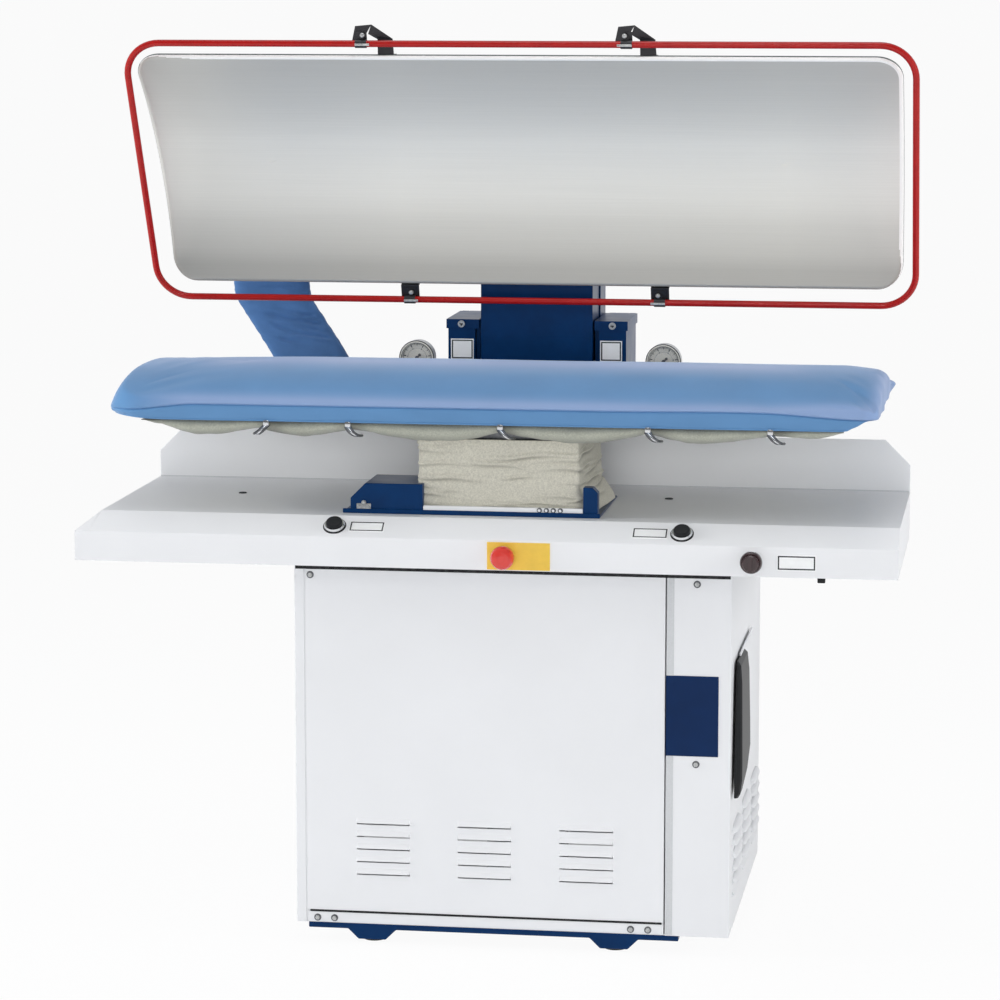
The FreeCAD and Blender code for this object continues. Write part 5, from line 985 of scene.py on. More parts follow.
class PRESS_OT_canvas(bpy.types.Operator):
    """Wraps the pedestal in slack canvas"""

    bl_idname = "press.canvas"
    bl_label = "Pedestal canvas"

    def execute(self, context):
        low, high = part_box("pedestal_canvas")
        foot, head = low.z + 0.0004, high.z + 0.008
        front, rear = low.y + 0.006, high.y - 0.004
        corners = [(0.150, front, 0.006), (0.166, rear, 0.006), (-0.122, rear, 0.006), (-0.127, front, 0.006)]
        folds = fold_lines(31, 44)
        rings, shade_values = [], []
        levels = 90
        for level in range(levels + 1):
            share = level / levels
            height = foot + (head - foot) * share
            flare = 0.005 * (1 - share) ** 3
            around = outline(corners, -flare, arc_steps=6, short_steps=60, least=0.005)
            ring = []
            for number, (spot, out) in enumerate(zip(around, outward(around))):
                place = number / len(around)
                fold = fold_height(folds, place, share)
                # Painted shade where the folds lie deep
                shade_values.append(min(0.6, max(0.0, -fold) / 0.0034))
                swell = fold + 0.0022 * noise.noise(Vector((place * 14, share * 2.2, 0.4)))
                # The loose end stands out at the right, low down
                tail = smooth_step((spot.x - 0.13) / 0.02) * smooth_step((spot.y + 0.262) / 0.03)
                swell += 0.020 * tail * smooth_step(1 - share / 0.4)
                ring.append(Vector((spot.x + out.x * swell, spot.y + out.y * swell, height)))
            rings.append(ring)
        made = piece("pedestal_wrap", lofted(rings, caps=False), cotton_duck)
        point_values(made, "painted_shade", shade_values)
        thickened(made, 0.0012)
        settle(made, "cabinet", "canvas", "pedestal_canvas")
        return {"FINISHED"}


def fold_lines(seed, count):
    """Random level folds on a wrapped cloth: place, level, length, slant, height and width of each."""
    draw = np.random.default_rng(seed)
    return [(draw.uniform(0, 1), draw.uniform(0.08, 0.95), draw.uniform(0.04, 0.16), draw.uniform(-0.7, 0.7),
             draw.uniform(0.0018, 0.0042), draw.uniform(0.014, 0.03)) for _ in range(count)]


def fold_height(folds, place, share):
    """How far the folds lift the cloth at one place round it and one share of its height."""
    total = 0.0
    for centre, level, reach, slant, height, width in folds:
        along = (place - centre + 0.5) % 1.0 - 0.5
        if abs(along) < reach:
            fade = smooth_step(1 - abs(along) / reach)
            off = (share - level - slant * along - 0.012 * math.sin(along * 60)) / width
            total += height * fade * (math.exp(-off * off) - 0.7 * math.exp(-(off + 1.3) ** 2))
    return total


# The buck's plan and form, close to the solids: corners as X, Y and radius
BUCK_PLAN = [(0.664, -0.327, 0.030), (0.664, 0.103, 0.040), (-0.660, 0.103, 0.106), (-0.669, -0.327, 0.077)]
BUCK_MIDDLE, BUCK_HALF = -0.112, 0.215
CROWN, CROWN_FALL = 1.0015, 0.0400
HEM, PLATEN_TOP = 0.922, 0.941
# The simulation holds the cover up to just above its sewn crease, and at the nose
HELD_BELOW, HELD_NOSE = 0.956, -0.6


def crown_height(y):
    return CROWN - CROWN_FALL * min(1.0, abs((y - BUCK_MIDDLE) / BUCK_HALF)) ** 2.6


def hem_height(x):
    """The hem rises a little at the nose and more at the right end."""
    return HEM + 0.002 + 0.020 * smooth_step((x - 0.60) / 0.06) + 0.005 * smooth_step((-0.56 - x) / 0.1)


def crease_height(x):
    """The sewn crease runs level and falls to the hem at both ends."""
    return 0.9515 - 0.012 * smooth_step((-0.50 - x) / 0.13) + 0.002 * smooth_step((x - 0.2) / 0.2) \
        - 0.010 * smooth_step((x - 0.45) / 0.2)


class PRESS_OT_cover(bpy.types.Operator):
    """Sews the padded cotton cover over the buck and fills it by simulation"""

    bl_idname = "press.cover"
    bl_label = "Buck cover"

    def execute(self, context):
        shape = self.form()
        made = piece("buck_pad", shape, cotton_sateen)
        around = len(outline(BUCK_PLAN))
        # Painted sheen by ring, fading out towards the nose
        point_values(made, "painted_sheen", [PAINTED_SHEEN_BY_RING[number // around] * smooth_step((spot.x + 0.64) / 0.14)
                                     for number, spot in enumerate(shape[0])])
        held = [corner.index for corner in made.data.vertices
                if corner.co.z < HELD_BELOW or corner.co.x < HELD_NOSE]
        blown(made, held, pressure=3.0, frames=16, cap=sizes().blow)
        self.sew(made)
        smooth = made.modifiers.new("smooth", "SUBSURF")
        smooth.levels = smooth.render_levels = 1
        settle(made, "cabinet", "blue_cotton", "buck_cover", "buck_padding")
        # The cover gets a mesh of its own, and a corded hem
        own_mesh(made)
        hem = [Vector((p.x - 0.014 * smooth_step((p.x - 0.6) / 0.06), p.y, hem_height(p.x) + 0.0012))
               for p in outline(BUCK_PLAN, 0.0098)]
        fit("cover_hem", rod(hem + hem[:2], 0.002, 10), "blue_cotton", smooth=True)
        return {"FINISHED"}

    @staticmethod
    def form():
        """Closed rings from the recess over the platen, round the hem and the crease and up to the crown."""
        plan = outline(BUCK_PLAN)
        turns = outward(plan)
        rolls, edges, tucks = [], [], []
        for spot, turn in zip(plan, turns):
            end = turn.x ** 2
            run, drop, bow = (0.028, 0.050, 1.2) if turn.x < 0 else (0.020, 0.022, 2.0)
            rolls.append((0.005 + (run - 0.005) * end, 0.005 + (drop - 0.005) * end, 2 + (bow - 2) * end))
            edges.append(crown_height(spot.y) - rolls[-1][1])
            tucks.append(0.020 * end if turn.x > 0 else 0.0)
        rings = []
        for inset in (0.211, 0.12, 0.05, 0.0206):
            rings.append([Vector((p.x, p.y, PLATEN_TOP + 0.0006)) for p in outline(BUCK_PLAN, inset)])
        rings.append([Vector((p.x, p.y, min(hem_height(p.x) + 0.004, PLATEN_TOP + 0.0004)))
                      for p in outline(BUCK_PLAN, 0.0204)])
        rings.append([Vector((p.x - tucks[number], p.y, hem_height(p.x)))
                      for number, p in enumerate(outline(BUCK_PLAN, 0.013))])
        deep = sizes().crease
        # Inset, share of the way from the hem to the crease, and millimetres above the crease
        for inset, share, above in (
                (0.0088, 0.03, 0), (0.0060, 0.22, 0), (0.0036, 0.45, 0), (0.0022, 0.66, 0), (0.0016, 0.82, 0),
                (0.0018, 0.92, 0), (0.0018 + deep * 0.5, 0.97, 0), (0.0014 + deep, 1.0, 0),
                (0.0012 + deep * 0.5, 1.0, 0.7), (0.0012, 1.0, 1.7), (0.0002, 1.0, 3.0)):
            ring = []
            for number, p in enumerate(outline(BUCK_PLAN, inset)):
                low = hem_height(p.x)
                end = turns[number].x ** 2
                high = min(crease_height(p.x), edges[number] - 0.002)
                level = low + (high - low) * share + min(above * MM, (edges[number] - high) * above / 3.4)
                sink = (inset - 0.0014) * end if share > 0.95 else 0.0
                ring.append(Vector((p.x - tucks[number] * (1 - share) + sink * turns[number].x,
                                    p.y + sink * turns[number].y, level)))
            rings.append(ring)
        for inset in (0.0004, 0.0016, 0.0034, 0.006, 0.009, 0.013, 0.018, 0.025, 0.034, 0.045, 0.058,
                      0.073, 0.09, 0.108, 0.126, 0.144, 0.162, 0.18, 0.197, 0.211):
            ring = []
            for number, p in enumerate(outline(BUCK_PLAN, inset)):
                run, drop, bow = rolls[number]
                fall = 1 - (1 - max(0.0, 1 - inset / run) ** bow) ** (1 / bow)
                ring.append(Vector((p.x, p.y, crown_height(p.y) - drop * fall)))
            rings.append(ring)
        return lofted(rings, zipped=ZIP_START)

    @staticmethod
    def sew(made):
        """Adds the slow unevenness of ironed cloth and the tucked corner at the right rear."""
        for corner in made.data.vertices:
            place = corner.co
            slow = noise.noise(Vector((place.x * 5, place.y * 6, place.z * 9)))
            fine = noise.noise(Vector((place.x * 14, place.y * 12, place.z * 26 + 4)))
            if place.z > 0.957:
                place.z += 0.0006 * slow
            elif abs(place.y - BUCK_MIDDLE) > BUCK_HALF - 0.02:
                place.y += 0.0006 * slow + 0.0003 * fine
            fold = smooth_step((place.x - 0.639) / 0.02)
            if fold > 0:
                place.x += fold * 0.004 * noise.noise(Vector((1.7, place.y * 18, place.z * 9)))
                flap = math.exp(-((place.y - 0.075) / 0.02) ** 2 - ((place.z - 0.962) / 0.009) ** 2)
                place.x += fold * 0.012 * flap
        made.data.update()


# How much painted sheen each ring of the cover takes, from the recess to the crown
PAINTED_SHEEN_BY_RING = [0] * 13 + [0.2, 0.7, 0.95, 1, 1, 1, 0.95, 0.85, 0.7, 0.5, 0.28, 0.1] + [0] * 5 + [
    0.04, 0.12, 0.25, 0.42, 0.6, 0.78, 0.9]


# Lowest line of the cloth under the buck: X and drop below the hem, from one end to the other
UNDER_LINE = [(-0.600, 0.002), (-0.570, 0.010), (-0.500, 0.027), (-0.403, 0.014), (-0.325, 0.026),
              (-0.238, 0.013), (-0.082, 0.031), (0.020, 0.014), (0.150, 0.030), (0.272, 0.011),
              (0.362, 0.027), (0.480, 0.011), (0.550, 0.014), (0.602, 0.002)]
# The hooks on the hem: X and the side to which each one leans
HOOKS = [(-0.379, -1), (-0.237, 1), (0.025, 1), (0.276, 1), (0.482, 1)]


def under_drop(x):
    xs, drops = zip(*UNDER_LINE)
    if x <= xs[0] or x >= xs[-1]:
        return 0.002
    at = max(number for number in range(len(xs) - 1) if xs[number] <= x)
    share = (x - xs[at]) / (xs[at + 1] - xs[at])
    low = min(drops[at], drops[at + 1])
    # Slack cloth hangs round between the hooks and comes up sharp at each
    bow = math.sin(share * math.pi / 2) if drops[at + 1] > drops[at] else math.cos(share * math.pi / 2)
    return low + abs(drops[at + 1] - drops[at]) * bow


class PRESS_OT_undercloth(bpy.types.Operator):
    """Hangs the canvas under the buck, drawn up at each hook"""

    bl_idname = "press.undercloth"
    bl_label = "Under canvas"

    def execute(self, context):
        low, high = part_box("under_canvas")
        high.x = UNDER_LINE[-1][0]
        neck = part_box("pedestal")
        columns, rows = 210, 64
        points, faces, shade_values = [], [], []
        for column in range(columns + 1):
            x = low.x + (high.x - low.x) * column / columns
            drop = under_drop(x)
            # How near the closest hook's wire is, where painted shade goes, and its clip, which draws it up
            grip = max(math.exp(-((x - hook - 0.010) / 0.022) ** 2) for hook, _ in HOOKS)
            pull = max(math.exp(-((x - hook) / 0.016) ** 2) for hook, _ in HOOKS)
            for row in range(rows + 1):
                share = row / rows
                y = low.y + (high.y - low.y) * share
                edge = min(share, 1 - share) * (high.y - low.y)
                belly = math.sin(min(1.0, edge / 0.034) * math.pi / 2) ** 0.75
                wrinkle = noise.noise(Vector((x * 26, y * 30, 0.2)))
                wrinkle += 0.5 * noise.noise(Vector((x * 60, y * 45, 3)))
                z = high.z - 0.0006 - drop * belly - 0.0022 * belly * wrinkle * (1 - 0.6 * pull)
                out = 0.013 * math.sin(min(1.0, edge / 0.02) * math.pi) * (drop / 0.03) * (1 - pull)
                points.append((x, y - out if share < 0.5 else y + out, min(z, high.z - 0.0006)))
                # Painted shade, deepest on the hanging part, the folded edge and under the nose, and
                # following the wrinkles
                hung = smooth_step((edge - 0.012) / 0.016) + smooth_step(1 - edge / 0.004)
                nose = smooth_step((-0.545 - x) / 0.05)
                shade_values.append(min(0.9, 0.55 * grip + 0.42 * hung + 0.5 * nose + 0.12 * wrinkle))
        for column in range(columns):
            for row in range(rows):
                first = column * (rows + 1) + row
                loop = [first, first + rows + 1, first + rows + 2, first + 1]
                middle = sum((Vector(points[corner]) for corner in loop), Vector()) / 4
                inside = all(neck[0][axis] - 0.004 < middle[axis] < neck[1][axis] + 0.004 for axis in (0, 1))
                if not inside:
                    faces.append(loop)
        used = sorted({corner for loop in faces for corner in loop})
        kept = {corner: number for number, corner in enumerate(used)}
        shape = [points[corner] for corner in used], [[kept[corner] for corner in loop] for loop in faces]
        made = piece("under_cloth", shape, grey_duck_in_shade)
        point_values(made, "painted_shade", [max(0.0, shade_values[corner]) for corner in used])
        thickened(made, 0.001)
        settle(made, "cabinet", "canvas", "under_canvas")
        return {"FINISHED"}


# One wire of a hook from the hem down: along the hem, out from it, and Z
HOOK_LINE = [(0.0, -0.001, 0.9165), (0.004, -0.006, 0.9120), (0.009, -0.008, 0.9072), (0.015, -0.004, 0.9030),
             (0.019, 0.008, 0.9012)]


class PRESS_OT_hooks(bpy.types.Operator):
    """Clips the spring hooks on the hem, and adds the thin platen they reach under"""

    bl_idname = "press.hooks"
    bl_label = "Hem hooks"

    def execute(self, context):
        shapes, tones = [], []
        front, half = -0.3185, 0.0048
        for x, side in HOOKS:
            clip = slab((x - half, front - 0.0035, 0.914), (x + half, front - 0.0015, 0.9255), 0.0007)
            turn = slab((x - half, front - 0.0035, 0.914), (x + half, front + 0.010, 0.9158), 0.0007)
            # The three wires overlap into one band, chrome in the middle and dark at both sides: a painted
            # highlight down each hook with painted shade along its edges
            wires = []
            for apart in (-0.0042, 0.0, 0.0042):
                path = [(x + side * along + apart, front + out, level) for along, out, level in HOOK_LINE]
                wires.append(rod(rounded_line(path, 8), 0.0022, 12))
            for shape, tone in ((clip, 0), (turn, 1), (wires[0], 1), (wires[1], 0), (wires[2], 1)):
                shapes.append(shape)
                tones += [tone] * len(shape[1])
        fit("hem_hooks", joined(*shapes), "chrome", chromed_steel, oiled_steel, nodes=["cover_hooks"],
            smooth=True, tones=tones)
        plan = [(0.600, -0.306, 0.02), (0.600, 0.082, 0.02), (-0.632, 0.082, 0.05), (-0.660, -0.306, 0.09)]
        rings = [[Vector((p.x, p.y, level)) for p in outline(plan, inset)]
                 for inset, level in ((0.19, 0.9222), (0.1, 0.9222), (0.002, 0.9222), (0.0, 0.9242),
                                      (0.0, 0.939), (0.002, 0.9408), (0.1, 0.9408), (0.19, 0.9408))]
        fit("platen", lofted(rings, zipped=ZIP_START), "cast_aluminium", nodes=["buck_platen"])
        return {"FINISHED"}


# Head

PIVOT_Y, PIVOT_Z = 0.238, 1.0215
OPEN_ANGLE = math.radians(70)
FACE_PLAN = [(0.681, -0.3335, 0.046), (0.681, 0.108, 0.046), (-0.644, 0.108, 0.046), (-0.683, -0.3335, 0.046)]
FACE_RADIUS, FACE_MIDDLE, FACE_TOP, FACE_THICK = 0.53161, -0.11275, 1.000, 0.012


def opened(x, y, z):
    """Where a point of the closed head stands when the head is open."""
    away_y, away_z = y - PIVOT_Y, z - PIVOT_Z
    return Vector((x, PIVOT_Y + away_y * math.cos(OPEN_ANGLE) + away_z * math.sin(OPEN_ANGLE),
                   PIVOT_Z - away_y * math.sin(OPEN_ANGLE) + away_z * math.cos(OPEN_ANGLE)))


class PRESS_OT_head(bpy.types.Operator):
    """Rolls the polished trough face with its rim, and dresses the hood and the arm"""

    bl_idname = "press.head"
    bl_label = "Head"

    def execute(self, context):
        rim = sizes().rim
        # Inset and depth of each ring: the back, the edge, the rolled rim and the face
        steps = [(0.216, FACE_THICK), (0.16, FACE_THICK), (0.09, FACE_THICK), (0.03, FACE_THICK),
                 (0.004, FACE_THICK), (0.0006, FACE_THICK - 0.0006)]
        for part in range(9):
            angle = part / 8 * math.pi / 2
            steps.append((rim - rim * math.cos(angle), rim - rim * math.sin(angle)))
        steps += [(inset, 0.0) for inset in (0.012, 0.017, 0.024, 0.033, 0.044, 0.058, 0.074, 0.092,
                                             0.11, 0.128, 0.146, 0.164, 0.182, 0.2, 0.216)]
        rings = []
        for inset, depth in steps:
            ring = []
            for p in outline(FACE_PLAN, inset):
                away = min(abs(p.y - FACE_MIDDLE), FACE_RADIUS)
                rise = math.sqrt(FACE_RADIUS ** 2 - away ** 2) - FACE_RADIUS
                ring.append(opened(p.x, p.y, FACE_TOP + rise + depth))
            rings.append(ring)
        shape = lofted(rings, zipped=ZIP_START)
        around = len(rings[0])
        # Painted highlight: the rim is near white along the front and the right end, thinning out at the far
        # corners of both
        # From the first dark level up to the rolled rim, the faces take the painted dark reflection
        ground, rolled, bands = 3, 8, 6
        rim_highlight_widths = [round(bands * min(1.0, max(0.0, (p.x + 0.672) / 0.09), max(0.0, (0.098 - p.y) / 0.07)))
                  if p.y < -0.3 or p.x > 0.655 else 0 for p in outline(FACE_PLAN, rim)]
        tones = []
        for number in range(len(shape[1])):
            level, wide = number // around, rim_highlight_widths[number % around]
            if ground <= level < rolled + (wide == 0):
                tones.append(1)
            else:
                tones.append(2 if rolled <= level < rolled + wide else 0)
        fit("press_face", shape, "polished_face", polished_aluminium, painted_dark_edge, rim_painted_highlight,
            body="head", nodes=["head_platen"], smooth=True, tones=tones)
        dress(sizes().edge, "head_hood", "head_arm", "steam_chamber")
        dress(0, "pivot_shaft")
        return {"FINISHED"}


# The three plates of the left front strap, each by its corners
STRAP = [[(-0.2802, -0.036, 1.5617), (-0.2623, -0.036, 1.5618),
          (-0.2461, -0.036, 1.5905), (-0.2747, -0.036, 1.5878)],
         [(-0.2519, -0.034, 1.5740), (-0.2383, -0.012, 1.5640),
          (-0.2133, -0.012, 1.5658), (-0.2465, -0.034, 1.5905)],
         [(-0.2388, -0.011, 1.5351), (-0.2102, -0.011, 1.5352),
          (-0.2127, -0.011, 1.5657), (-0.2395, -0.011, 1.5648)]]
STRAPS_APART = 0.464


class PRESS_OT_guard(bpy.types.Operator):
    """Dresses the safety bar, its clips and its rear brackets, and adds the front straps and clip trims"""

    bl_idname = "press.guard"
    bl_label = "Safety bar"

    def execute(self, context):
        dress(0, "safety_bar")
        dress(0, "front_bar_clips", "rear_bar_clips", maker=black_paint)
        dress(0.7 * MM, "rear_bar_brackets")
        foot = slab((-0.2386, -0.010, 1.5355), (-0.2104, 0.0198, 1.5385), 0.0006)
        strap = joined(*[plate(corners, 0.003) for corners in STRAP], foot)
        straps = joined(strap, moved(strap, Matrix.Translation((STRAPS_APART, 0, 0))))
        fit("front_straps", straps, "black_paint", body="guard", nodes=["front_bar_brackets"])
        wide, stud = 0.026, lathe([(4.2, 0), (4.2, 4.6), (3.4, 6.2), (1.6, 6.8)], 20)
        for name, body, lift in (("front", "guard", 0.0225), ("rear", "head", 0.0205)):
            low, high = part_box(f"{name}_bar_clips")
            trim = []
            for x in (low.x, high.x - wide):
                trim.append(slab((x, low.y - 0.0006, low.z + 0.0040),
                                 (x + wide, low.y + 0.0008, low.z + 0.0082), 0.0006))
                trim.append(moved(stud, facing(x + wide / 2, low.y + 0.006, low.z + lift)))
            fit(f"{name}_clip_trim", joined(*trim), "zinc_steel", body=body, smooth=True)
        return {"FINISHED"}


def plate(corners, thick):
    """A flat plate between four corners, anticlockwise from the front, and the same four set back."""
    back = [(x, y + thick, z) for x, y, z in corners]
    edges = [[here, here + 4, (here + 1) % 4 + 4, (here + 1) % 4] for here in range(4)]
    return [*corners, *back], [[0, 1, 2, 3], [7, 6, 5, 4], *edges]


# Column, gauges and hose sheath

class PRESS_OT_column(bpy.types.Operator):
    """Dresses the column and its valve boxes, and adds the arm's skirt, label plates and lock slots"""

    bl_idname = "press.column"
    bl_label = "Column"

    def execute(self, context):
        dress(0.9 * MM, "valve_boxes", "left_box_lid", "right_box_lid", "column_rear_cover", "cheek_plates")
        dress(0.5 * MM, "left_box_lock", "right_box_lock")
        dress(0, "pivot_bushes", "piston_rod", "press_cylinder")
        skirt = slab((-0.0845, 0.1763, 0.972), (0.1195, 0.1793, 1.0235), 0.001)
        fit("arm_skirt", skirt, "navy_paint", body="head")
        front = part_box("valve_boxes")[0].y
        for name, x, wide in (("left_box_label", -0.120, 0.042), ("right_box_label", 0.1535, 0.040)):
            label_plate(name, wide, 0.038, facing(x, front, 0.999))
        for side in ("left", "right"):
            low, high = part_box(f"{side}_box_lock")
            x, z = (low.x + high.x) / 2, (low.z + high.z) / 2
            near, far = low.y - 0.0004, low.y + 0.0004
            # No slot is cut: black slabs on the lock face are painted shade for the hollow of each slot
            slots = joined(slab((x - 0.0034, near, z - 0.001), (x + 0.0034, far, z + 0.001), 0.0002),
                           slab((x - 0.001, near, z - 0.0034), (x + 0.001, far, z + 0.001), 0.0002))
            fit(f"{side}_lock_slot", slots, "black_paint", black_ink, body=f"{side}_lock")
        return {"FINISHED"}


# The dials: degrees at zero and over the whole scale, and the steps between marks and between numbers
DIAL_ZERO, DIAL_SWEEP, DIAL_MARKS, DIAL_NUMBERS = 225, 270, 50, 5


class PRESS_OT_gauges(bpy.types.Operator):
    """Fits the pressure gauges with dials, marks, rims and glass"""

    bl_idname = "press.gauges"
    bl_label = "Pressure gauges"

    def execute(self, context):
        dress(0, "gauges", "left_gauge_needle", "right_gauge_needle")
        gauge_y, gauge_z = 0.185, 0.9815
        for side, x in (("left", -0.2045), ("right", 0.249)):
            place = facing(x, gauge_y, gauge_z)
            dial = lathe([(28.2, 0.0), (28.2, 0.3), (27.9, 0.4)], 64)
            marks = [ring_band(26.3, 26.8, 0.45), ring_band(17.0, 17.3, 0.45)]
            for step in range(DIAL_MARKS + 1):
                turn = Matrix.Rotation(math.radians(DIAL_ZERO - DIAL_SWEEP * step / DIAL_MARKS), 4, "Z")
                inner, wide = 23.8 * MM, 0.4 * MM
                if step % 5 == 0:
                    inner, wide = (20.6 * MM, 0.85 * MM) if step % 10 == 0 else (22.4 * MM, 0.65 * MM)
                mark = slab((inner, -wide, 0.0004), (0.0262, wide, 0.00055), 0.00005, 1)
                marks.append(moved(mark, turn))
            for step in range(DIAL_NUMBERS + 1):
                angle = math.radians(DIAL_ZERO - DIAL_SWEEP * step / DIAL_NUMBERS)
                spot = Vector((math.cos(angle), math.sin(angle), 0)) * 0.0178 + Vector((0, -0.0016, 0.00045))
                marks.append(moved(numeral(str(2 * step)), Matrix.Translation(spot)))
            ring = ring_band(28.3, 31.2, 7.6, 7.2)
            rim = joined(ring_band(30.9, 32.2, 8.0, 3.0), ring_band(27.9, 28.4, 7.7, 6.0))
            body, tones = joined(dial, ring, *marks, rim), []
            for number, some in enumerate([dial, ring, *marks, rim]):
                tones += [0 if number < 2 else 2 if number > 1 + len(marks) else 1] * len(some[1])
            fit(f"{side}_gauge_face", moved(body, place), "pale_plastic", dial_paper, black_ink, black_paint,
                tones=tones)
            glass = lathe([(28.0, 5.4), (28.0, 6.4), (27.6, 6.6)], 64)
            fit(f"{side}_gauge_glass", moved(glass, place), "pale_plastic", window_glass)
            low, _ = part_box(f"{side}_gauge_needle")
            blob = lathe([(2.7, -0.6), (2.7, 0.4), (2.3, 0.7)], 24)
            blob = moved(blob, facing(x + 0.0052, low.y - 0.0002, gauge_z + 0.0052))
            fit(f"{side}_needle_weight", blob, "black_paint", black_ink, body=f"{side}_needle", smooth=True)
        return {"FINISHED"}


def ring_band(inner, outer, top, deep=0.12):
    """A flat ring about Z, in millimetres."""
    return lathe_loop([(inner, top - deep), (outer, top - deep), (outer, top), (inner, top)])


def lathe_loop(profile, sides=64):
    """A turned ring about Z from a closed profile of (radius, height) pairs in millimetres."""
    rings = []
    for step in range(sides):
        angle = 2 * math.pi * step / sides
        rings.append([(radius * MM * math.cos(angle), radius * MM * math.sin(angle), height * MM)
                      for radius, height in profile])
    points, faces = lofted(rings + rings[:1], caps=False)
    count = len(profile)
    return points[:-count], [[corner % (sides * count) for corner in side] for side in faces]


def numeral(text):
    """A number as a flat mesh 3.4 mm high, centred."""
    letters = bpy.data.curves.new("numeral", "FONT")
    letters.body = text
    letters.size = 0.0048
    letters.align_x = "CENTER"
    letters.extrude = 0.00004
    holder = bpy.data.objects.new("numeral", letters)
    mesh = bpy.data.meshes.new_from_object(holder)
    shape = [v.co.copy() for v in mesh.vertices], [list(f.vertices) for f in mesh.polygons]
    bpy.data.meshes.remove(mesh)
    bpy.data.objects.remove(holder)
    bpy.data.curves.remove(letters)
    return shape


# Middle of the sheath from the head to the deck: X, Y, Z and lean of its section about X in degrees
SHEATH_LINE = [
    (-0.488, 0.2044, 1.2040, 110), (-0.488, 0.2285, 1.2128, 110), (-0.492, 0.2600, 1.1930, 62),
    (-0.4935, 0.2720, 1.1200, 14), (-0.4885, 0.2710, 1.0800, 6), (-0.4520, 0.2630, 1.0250, 2),
    (-0.4165, 0.2490, 0.9745, 0), (-0.3450, 0.2430, 0.8520, 0), (-0.2610, 0.2860, 0.7560, 0),
    (-0.2590, 0.2880, 0.6853, 0)]
# Folds on the sheath's front: across and along at both ends, depth in millimetres and width
SHEATH_FOLDS = [
    (-0.1, 0.475, 0.75, 0.507, 1.6, 0.0075), (-0.35, 0.500, 0.85, 0.540, 2.0, 0.0085),
    (-0.4, 0.540, 0.10, 0.575, 1.8, 0.009), (0.05, 0.572, 0.85, 0.597, 2.0, 0.008),
    (0.3, 0.545, 0.8, 0.562, 1.4, 0.006), (-0.5, 0.600, 0.2, 0.628, 1.6, 0.009),
    (-0.3, 0.372, 0.6, 0.376, 1.0, 0.006), (0.45, 0.512, 0.95, 0.500, 1.6, 0.005),
    (0.5, 0.527, 0.98, 0.515, 1.8, 0.005), (0.55, 0.541, 0.98, 0.529, 1.8, 0.005),
    (0.6, 0.554, 0.98, 0.543, 1.4, 0.005), (0.4, 0.445, 0.95, 0.430, 1.2, 0.006)]


class PRESS_OT_sheath(bpy.types.Operator):
    """Hangs the cloth sheath of the steam hoses between the deck and the head"""

    bl_idname = "press.sheath"
    bl_label = "Hose sheath"

    def execute(self, context):
        line = rounded_line([stop[:3] for stop in SHEATH_LINE], 16)
        leans = [v.x for v in rounded_line([(stop[3], 0, 0) for stop in SHEATH_LINE], 16)]
        half, thick, sides = 0.0715, 0.017, 96
        rings = []
        for number, (middle, lean) in enumerate(zip(line, leans)):
            along = number / (len(line) - 1)
            deep = Vector((0, math.cos(math.radians(lean)), math.sin(math.radians(lean))))
            ring = []
            for step in range(sides):
                angle = 2 * math.pi * step / sides
                wide, high = math.cos(angle), math.sin(angle)
                across = math.copysign(abs(wide) ** 0.55, wide)
                out = math.copysign(abs(high) ** 0.75, high) * thick
                crease = sheath_fold(across, along)
                ripple = noise.noise(Vector((across * 2.2, along * 26, high)))
                out -= math.copysign(1, high) * (crease - 0.0013 * ripple) * min(1.0, abs(high) * 2)
                edge = half + 0.0016 * noise.noise(Vector((along * 40, wide, 2.0)))
                ring.append(middle + Vector((across * edge, 0, 0)) + deep * out)
            rings.append(ring)
        made = piece("sheath", lofted(rings), cotton_drill)
        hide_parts("hose_sheath")
        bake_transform(made)
        return {"FINISHED"}


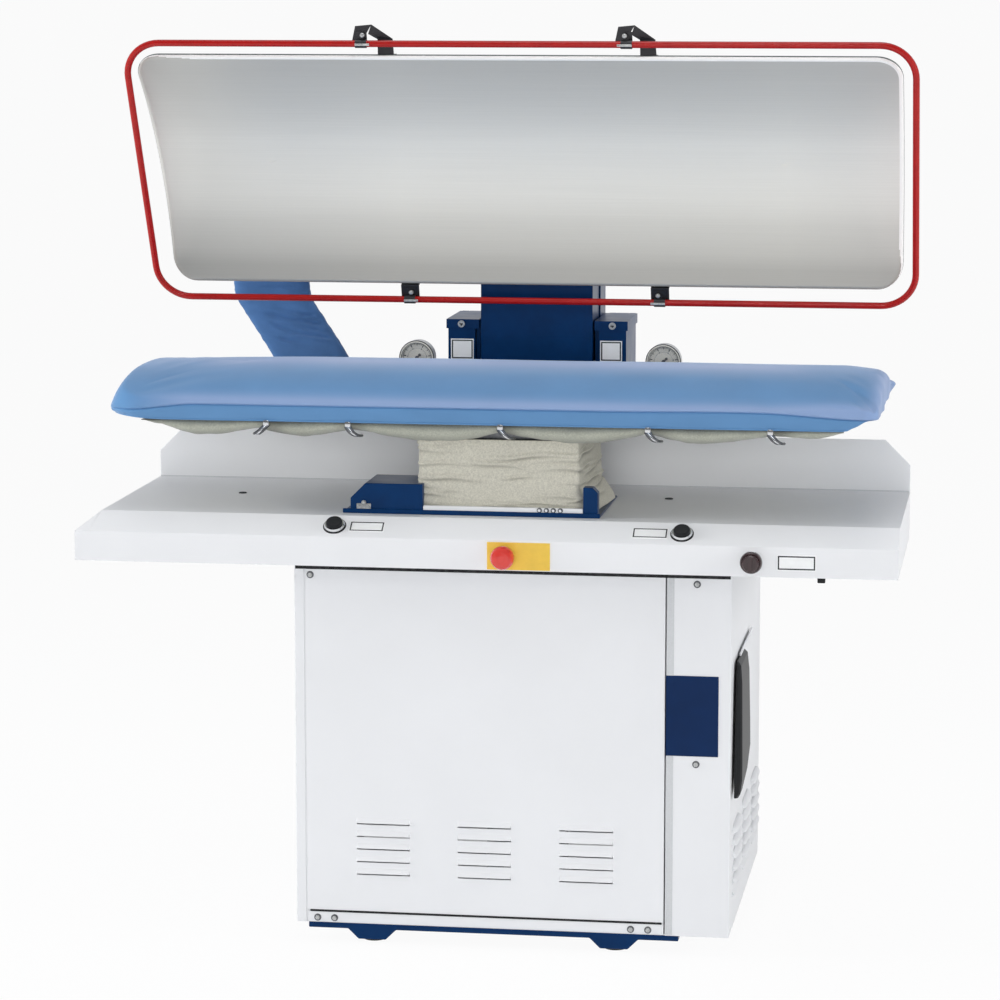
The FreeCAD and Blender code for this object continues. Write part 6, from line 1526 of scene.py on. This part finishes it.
def sheath_fold(across, along):
    """Depth of the pressed folds at one place on the sheath."""
    total = 0.0
    for u0, v0, u1, v1, depth, width in SHEATH_FOLDS:
        share = (across - u0) / (u1 - u0)
        if -0.15 < share < 1.15:
            fade = smooth_step(min(share + 0.15, 1.15 - share) / 0.3)
            off = (along - (v0 + (v1 - v0) * share)) / width
            total += 2.6 * depth * MM * fade * (math.exp(-off * off) - 0.5 * math.exp(-(off - 1.6) ** 2))
    return total


class PRESS_OT_inside(bpy.types.Operator):
    """Dresses the vacuum fan, its duct and the steam manifold inside the cabinet"""

    bl_idname = "press.inside"
    bl_label = "Fan and manifold"

    def execute(self, context):
        dress(0, "fan_housing", "fan_impeller", "fan_motor", "suction_duct", "steam_manifold")
        return {"FINISHED"}


OPERATORS = [
    PRESS_OT_stage, PRESS_OT_table, PRESS_OT_cabinet, PRESS_OT_controls, PRESS_OT_saddle, PRESS_OT_canvas,
    PRESS_OT_cover, PRESS_OT_hooks, PRESS_OT_undercloth, PRESS_OT_head, PRESS_OT_guard, PRESS_OT_column,
    PRESS_OT_gauges, PRESS_OT_sheath, PRESS_OT_inside]


class PRESS_PT_panel(bpy.types.Panel):
    """Lists the press's sizes, colours and pieces"""

    bl_idname = "PRESS_PT_panel"
    bl_label = "Laundry press"
    bl_space_type = "VIEW_3D"
    bl_region_type = "UI"
    bl_category = "Press"

    def draw(self, context):
        for group in (context.scene.press_sizes, context.scene.press_colours):
            for name in group.__annotations__:
                self.layout.prop(group, name)
        for operator in OPERATORS:
            self.layout.operator(operator.bl_idname)


CLASSES = [PressColours, PressSizes, *OPERATORS, PRESS_PT_panel]


def register():
    for kind in CLASSES:
        bpy.utils.register_class(kind)
    bpy.types.Scene.press_colours = bpy.props.PointerProperty(type=PressColours)
    bpy.types.Scene.press_sizes = bpy.props.PointerProperty(type=PressSizes)


def unregister():
    del bpy.types.Scene.press_sizes
    del bpy.types.Scene.press_colours
    for kind in reversed(CLASSES):
        bpy.utils.unregister_class(kind)


def main():
    register()
    for operator in OPERATORS:
        group, name = operator.bl_idname.split(".")
        getattr(getattr(bpy.ops, group), name)()


if __name__ == "__main__":
    main()
